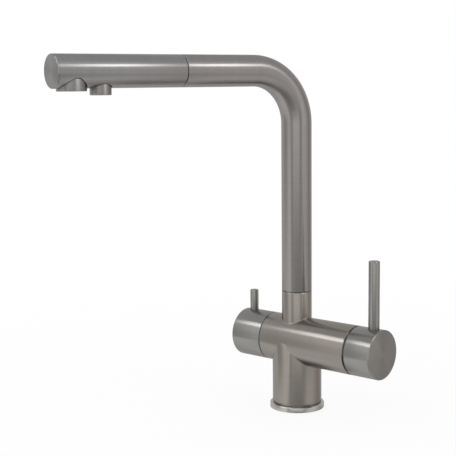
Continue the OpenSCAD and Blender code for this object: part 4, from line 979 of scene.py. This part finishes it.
class TAP_OT_filter_handle(bpy.types.Operator):
    """Filtered-water handle: the longer cap and its short pin"""

    bl_idname = "tap.filter_handle"
    bl_label = "Filter handle"

    def execute(self, context):
        size = sizes()
        radius, hollow = size.barrel_radius, size.barrel_radius - CAP_WALL
        start, end = -corner("filter_cap", 1).x, -corner("filter_cap", 0).x
        boss, socket = 0.008, 0.0034
        boss_start, inner = start + 0.013, end - CAP_FACE
        cap = brushed([
            (0, end), (radius - CHAMFER, end), (radius, end - CHAMFER), (radius, start),
            (hollow, start), (hollow, inner), (boss, inner), (boss, boss_start), (socket, boss_start),
            (socket, inner), (0, inner)], UP * size.barrel_height, AXIS_X, on_barrel(-1), closed=False)
        add_handle(
            "filter_handle", cap, ("filter_cap_shell", "filter_cap"), ("filter_pin", "filter_lever_pin"),
            seat_depth=0.0025, thread=0.00245)
        return {"FINISHED"}


class TAP_OT_hoses(bpy.types.Operator):
    """Braided main hose and the filtered-water tube, inside the spout and behind the head"""

    bl_idname = "tap.hoses"
    bl_label = "Hoses"

    hose_wall: FloatProperty(
        name="Hose wall", description="Wall of the braided main hose",
        default=0.0016, **LENGTH)
    tube_wall: FloatProperty(
        name="Drinking tube wall", description="Wall of the filtered-water tube",
        default=0.0009, **LENGTH)
    split: FloatProperty(
        name="Split", description="Distance from the tap's axis at which the hoses' moving lengths begin",
        default=0.05, **LENGTH)

    def execute(self, context):
        size = sizes()
        forward = arm_direction()
        braid = braided_sheath()
        tube = moulded("drinking_tube", finish().drinking_tube, 0.34)
        for riser, arm, material, slot, wall in (
            ("main_hose_riser", "main_hose_arm", braid, "hose_braid", self.hose_wall),
            ("filter_tube_riser", "filter_tube_arm", tube, "blue_tube", self.tube_wall),
        ):
            low, high = corner(arm, 0), corner(arm, 1)
            radius = (high.z - low.z) / 2
            middle = (high.z + low.z) / 2
            run = swept_run(radius, wall, middle - size.arm_height, corner(riser, 0).z, self.split)
            add_piece(riser + "_cover", run, "spout", material, riser)

            ends = [forward.dot(point) for point in (low, high)]
            reach = abs(forward.x) * radius
            start, end = min(ends) + reach, max(ends) - reach
            hose = brushed(
                [(radius - wall, start), (radius, start), (radius, end), (radius - wall, end)],
                UP * middle, forward, along(UP * middle, forward))
            add_piece(arm + "_cover", hose, "pull_out_head", material, arm)
        return {"FINISHED"}


def dress(node, material):
    """Gives a node of the frame a finish, with its shape kept."""
    for material_slot in frame["nodes"][node].material_slots:
        material_slot.material = material


class TAP_OT_inner_parts(bpy.types.Operator):
    """Finishes of the parts inside: cartridge, valve, swivel, seals, connectors and flow formers"""

    bl_idname = "tap.inner_parts"
    bl_label = "Inner parts"

    def execute(self, context):
        look = finish()
        finishes = {
            "bright_steel": turned_metal("bright_steel_finish", (0.40, 0.395, 0.385), 0.2, 0.0004, 0.7),
            "brass": turned_metal("brass_finish", look.brass, 0.26, 0.0005, 0.9),
            "black_rubber": moulded("rubber_finish", look.rubber, 0.55),
            "dark_plastic": moulded("dark_plastic_finish", (0.022, 0.022, 0.024), 0.45),
            "white_plastic": moulded("white_plastic_finish", (0.72, 0.72, 0.69), 0.4),
            "grey_plastic": moulded("grey_plastic_finish", (0.26, 0.27, 0.29), 0.42),
            "ceramic": lapped_ceramic(),
        }
        for part in frame["record"]["subparts"]:
            if part["material_slot"] in finishes:
                dress(part["node"], finishes[part["material_slot"]])
        return {"FINISHED"}


def direction(bearing, rise):
    """Unit vector for a bearing from straight ahead and a rise from level, both in degrees."""
    bearing, rise = math.radians(bearing), math.radians(rise)
    level = Vector((math.sin(bearing), -math.cos(bearing), 0))
    return level * math.cos(rise) + UP * math.sin(rise)


class TAP_OT_studio(bpy.types.Operator):
    """Floor, white surroundings, softboxes and the camera"""

    bl_idname = "tap.studio"
    bl_label = "Studio"

    def execute(self, context):
        studio = context.scene.studio_settings
        self.make_floor(context, studio)
        self.make_world(context, studio)
        # Name, bearing and rise in degrees, distance, width and height, and power
        self.make_softbox(context, "back_softbox", 96, 40, 1.63, (0.62, 0.42), studio.back_lamp)
        self.make_softbox(context, "front_softbox", -21, 43, 1.5, (1.4, 0.38), studio.front_lamp)
        self.make_camera(context, studio)
        context.scene.view_settings.view_transform = "Standard"
        return {"FINISHED"}

    def make_floor(self, context, studio):
        """A matt floor, whitened for the camera more and more with its distance from the tap."""
        floor_radius, floor_drop = 6.0, 0.0001
        white_start, white_end = 0.2, 0.7
        bm = bmesh.new()
        bmesh.ops.create_circle(bm, cap_ends=True, segments=96, radius=floor_radius)
        bmesh.ops.translate(bm, verts=bm.verts[:], vec=(0, 0, -floor_drop))
        floor = scratch_object("studio_floor", bm)
        made = Finish("floor_paint")
        speckle = made.noise(made.object_place(), 300.0)
        made.set(
            base_color=made.mixed(
                made.spread(speckle), shaded(studio.floor_colour, 0.99), shaded(studio.floor_colour)),
            roughness=0.9)
        white = made.node("ShaderNodeEmission", {"Color": (1, 1, 1, 1)})
        seen = made.node("ShaderNodeLightPath")
        mixed = made.node("ShaderNodeMixShader")
        away = made.node("ShaderNodeVectorMath", operation="LENGTH")
        made.link(made.object_place(), away.inputs[0])
        whitened = made.spread(away.outputs["Value"], studio.near_white, 1.0, white_start, white_end)
        made.link(made.math("MULTIPLY", seen.outputs["Is Camera Ray"], whitened), mixed.inputs["Fac"])
        made.link(made.shader.outputs["BSDF"], mixed.inputs[1])
        made.link(white.outputs["Emission"], mixed.inputs[2])
        made.link(mixed.outputs["Shader"], made.tree.nodes["Material Output"].inputs["Surface"])
        floor.visible_glossy = False
        floor.data.materials.append(made.material)

    def mirrored_studio(self, made, studio, view, rise, bearing):
        """Brightness of the panels, the table, the ceiling and two glows, as polished steel mirrors them.

        Rises are sines of an angle from level. Each pair is where one thing gives way to the next.
        """
        ceiling, table_edge, table_front = (0.3, 0.75), (-0.27, -0.37), (-0.4, -0.7)
        edge_turn = [math.radians(degrees) for degrees in (-5, 15)]
        front_turn = [math.radians(degrees) for degrees in (70, 105)]
        edge_shift, front_dark, front_bright = 0.06, -0.05, 0.3
        round_share = made.math("ADD", made.math("DIVIDE", bearing, math.tau), 0.5)

        def ring(bands):
            step = made.node("ShaderNodeValToRGB")
            made.link(round_share, step.inputs["Fac"])
            ramp = step.color_ramp
            for first, last, brightness in bands:
                for degrees in (first, last):
                    ramp.elements.new(degrees / 360 + 0.5).color = (brightness, brightness, brightness, 1)
            for end in (ramp.elements[0], ramp.elements[-1]):
                end.color = ramp.elements[-2].color
            return step.outputs["Color"]

        def glow(middle, reach, strength):
            """Soft light round the middle of a softbox, which fades out at its reach, an angle in degrees."""
            near = made.node("ShaderNodeVectorMath", operation="DOT_PRODUCT")
            near.inputs[1].default_value = middle
            made.link(view, near.inputs[0])
            share = made.spread(near.outputs["Value"], 0.0, 1.0, math.cos(math.radians(reach)), 1.0)
            return made.math("MULTIPLY", made.math("MULTIPLY", share, share), strength)

        round_tap = made.mixed(made.spread(rise, 0.0, 1.0, *ceiling), ring(PANELS), studio.ceiling, "FLOAT")
        below = made.math("SUBTRACT", rise, made.spread(bearing, 0.0, edge_shift, *edge_turn))
        front = made.math(
            "MULTIPLY", made.spread(rise, 0.0, 1.0, *table_front),
            made.spread(bearing, front_dark, front_bright, *front_turn))
        table = made.math("MULTIPLY", ring(TABLE), made.math("ADD", front, 1.0))
        total = made.mixed(made.spread(below, 0.0, 1.0, *table_edge), round_tap, table, "FLOAT")
        total = made.math("ADD", total, glow(direction(-30, 29), 30, 0.4))
        return made.math("ADD", total, glow(direction(100, 37), 34, 0.5))

    def make_world(self, context, studio):
        """White to the camera, even to matt surfaces, and a ring of panels to whatever mirrors it."""
        warm_turn = [math.radians(degrees) for degrees in (95, 140)]
        cool_rise = (0.3, 0.7)
        white = (1, 1, 1, 1)
        world = bpy.data.worlds.new("white_studio")
        context.scene.world = world
        world.use_nodes = True
        made = Nodes(world.node_tree)
        view = made.node("ShaderNodeTexCoord").outputs["Generated"]
        parts = made.split(view)
        rise = parts["Z"]
        bearing = made.math("ARCTAN2", parts["X"], made.math("MULTIPLY", parts["Y"], -1.0))
        mirrored = self.mirrored_studio(made, studio, view, rise, bearing)
        seen = made.node("ShaderNodeLightPath").outputs
        shiny = made.math("MAXIMUM", seen["Is Glossy Ray"], seen["Is Transmission Ray"])
        matt = made.math("SUBTRACT", 1.0, made.math("MAXIMUM", seen["Is Camera Ray"], shiny))
        strength = made.math("ADD", seen["Is Camera Ray"], made.math("MULTIPLY", matt, studio.surroundings))
        strength = made.math("ADD", strength, made.math("MULTIPLY", shiny, mirrored))
        warmed = made.mixed(made.spread(bearing, 0.0, 1.0, *warm_turn), white, shaded(studio.warm_side))
        cooled = made.mixed(made.spread(rise, 0.0, 1.0, *cool_rise), warmed, shaded(studio.cool_ceiling))
        sky = made.tree.nodes["Background"]
        made.link(made.mixed(shiny, white, cooled), sky.inputs["Color"])
        made.link(strength, sky.inputs["Strength"])

    def make_softbox(self, context, name, bearing, rise, distance, size, power):
        lamp = bpy.data.lights.new(name, "AREA")
        lamp.shape = "RECTANGLE"
        lamp.size, lamp.size_y = size
        lamp.energy = power
        box = bpy.data.objects.new(name, lamp)
        target = UP * TARGET_HEIGHT
        away = direction(bearing, rise)
        turn = away.to_track_quat("Z", "Y").to_matrix().to_4x4()
        box.matrix_world = Matrix.Translation(target + away * distance) @ turn
        box.visible_camera = False
        context.scene.collection.objects.link(box)

    def make_camera(self, context, studio):
        side = studio.camera_side
        outwards = Vector((math.sin(side), -math.cos(side), 0))
        right = Vector((math.cos(side), math.sin(side), 0))
        place = outwards * studio.camera_distance + UP * studio.camera_height

        def turned_pair(first, second, angle):
            cosine, sine = math.cos(angle), math.sin(angle)
            return first * cosine + second * sine, second * cosine - first * sine

        forward, right = turned_pair(-outwards, right, studio.camera_yaw)
        up, forward = turned_pair(UP, forward, studio.camera_pitch)
        right, up = turned_pair(right, up, studio.camera_roll)
        data = bpy.data.cameras.new("photo_camera")
        data.sensor_fit = "HORIZONTAL"
        data.sensor_width = SENSOR_WIDTH
        data.lens = studio.lens
        data.clip_start, data.clip_end = CLIP_RANGE
        camera = bpy.data.objects.new("photo_camera", data)
        turn = Matrix((right, up, -forward)).transposed().to_4x4()
        camera.matrix_world = Matrix.Translation(place) @ turn
        context.scene.collection.objects.link(camera)
        context.scene.camera = camera


OPERATORS = (
    TAP_OT_foot,
    TAP_OT_casting,
    TAP_OT_spout,
    TAP_OT_head,
    TAP_OT_outlets,
    TAP_OT_mixer_handle,
    TAP_OT_filter_handle,
    TAP_OT_hoses,
    TAP_OT_inner_parts,
    TAP_OT_studio,
)


class TAP_PT_panel(bpy.types.Panel):
    """Sidebar panel with the tap's pieces, sizes and finishes"""

    bl_idname = "TAP_PT_panel"
    bl_label = "Mixer Tap"
    bl_space_type = "VIEW_3D"
    bl_region_type = "UI"
    bl_category = "Mixer Tap"

    def draw(self, context):
        layout = self.layout
        for group in (context.scene.tap_sizes, context.scene.tap_finish, context.scene.studio_settings):
            box = layout.box()
            for name in group.__annotations__:
                box.prop(group, name)
        for operator in OPERATORS:
            layout.operator(operator.bl_idname)


CLASSES = (TapSizes, TapFinish, StudioSettings) + OPERATORS + (TAP_PT_panel,)


def register():
    for cls in CLASSES:
        bpy.utils.register_class(cls)
    bpy.types.Scene.tap_sizes = PointerProperty(type=TapSizes)
    bpy.types.Scene.tap_finish = PointerProperty(type=TapFinish)
    bpy.types.Scene.studio_settings = PointerProperty(type=StudioSettings)


def unregister():
    del bpy.types.Scene.studio_settings
    del bpy.types.Scene.tap_finish
    del bpy.types.Scene.tap_sizes
    for cls in reversed(CLASSES):
        bpy.utils.unregister_class(cls)


def main():
    register()
    for operator in OPERATORS:
        group, name = operator.bl_idname.split(".")
        getattr(getattr(bpy.ops, group), name)()
    bpy.context.view_layer.update()


if __name__ == "__main__":
    main()
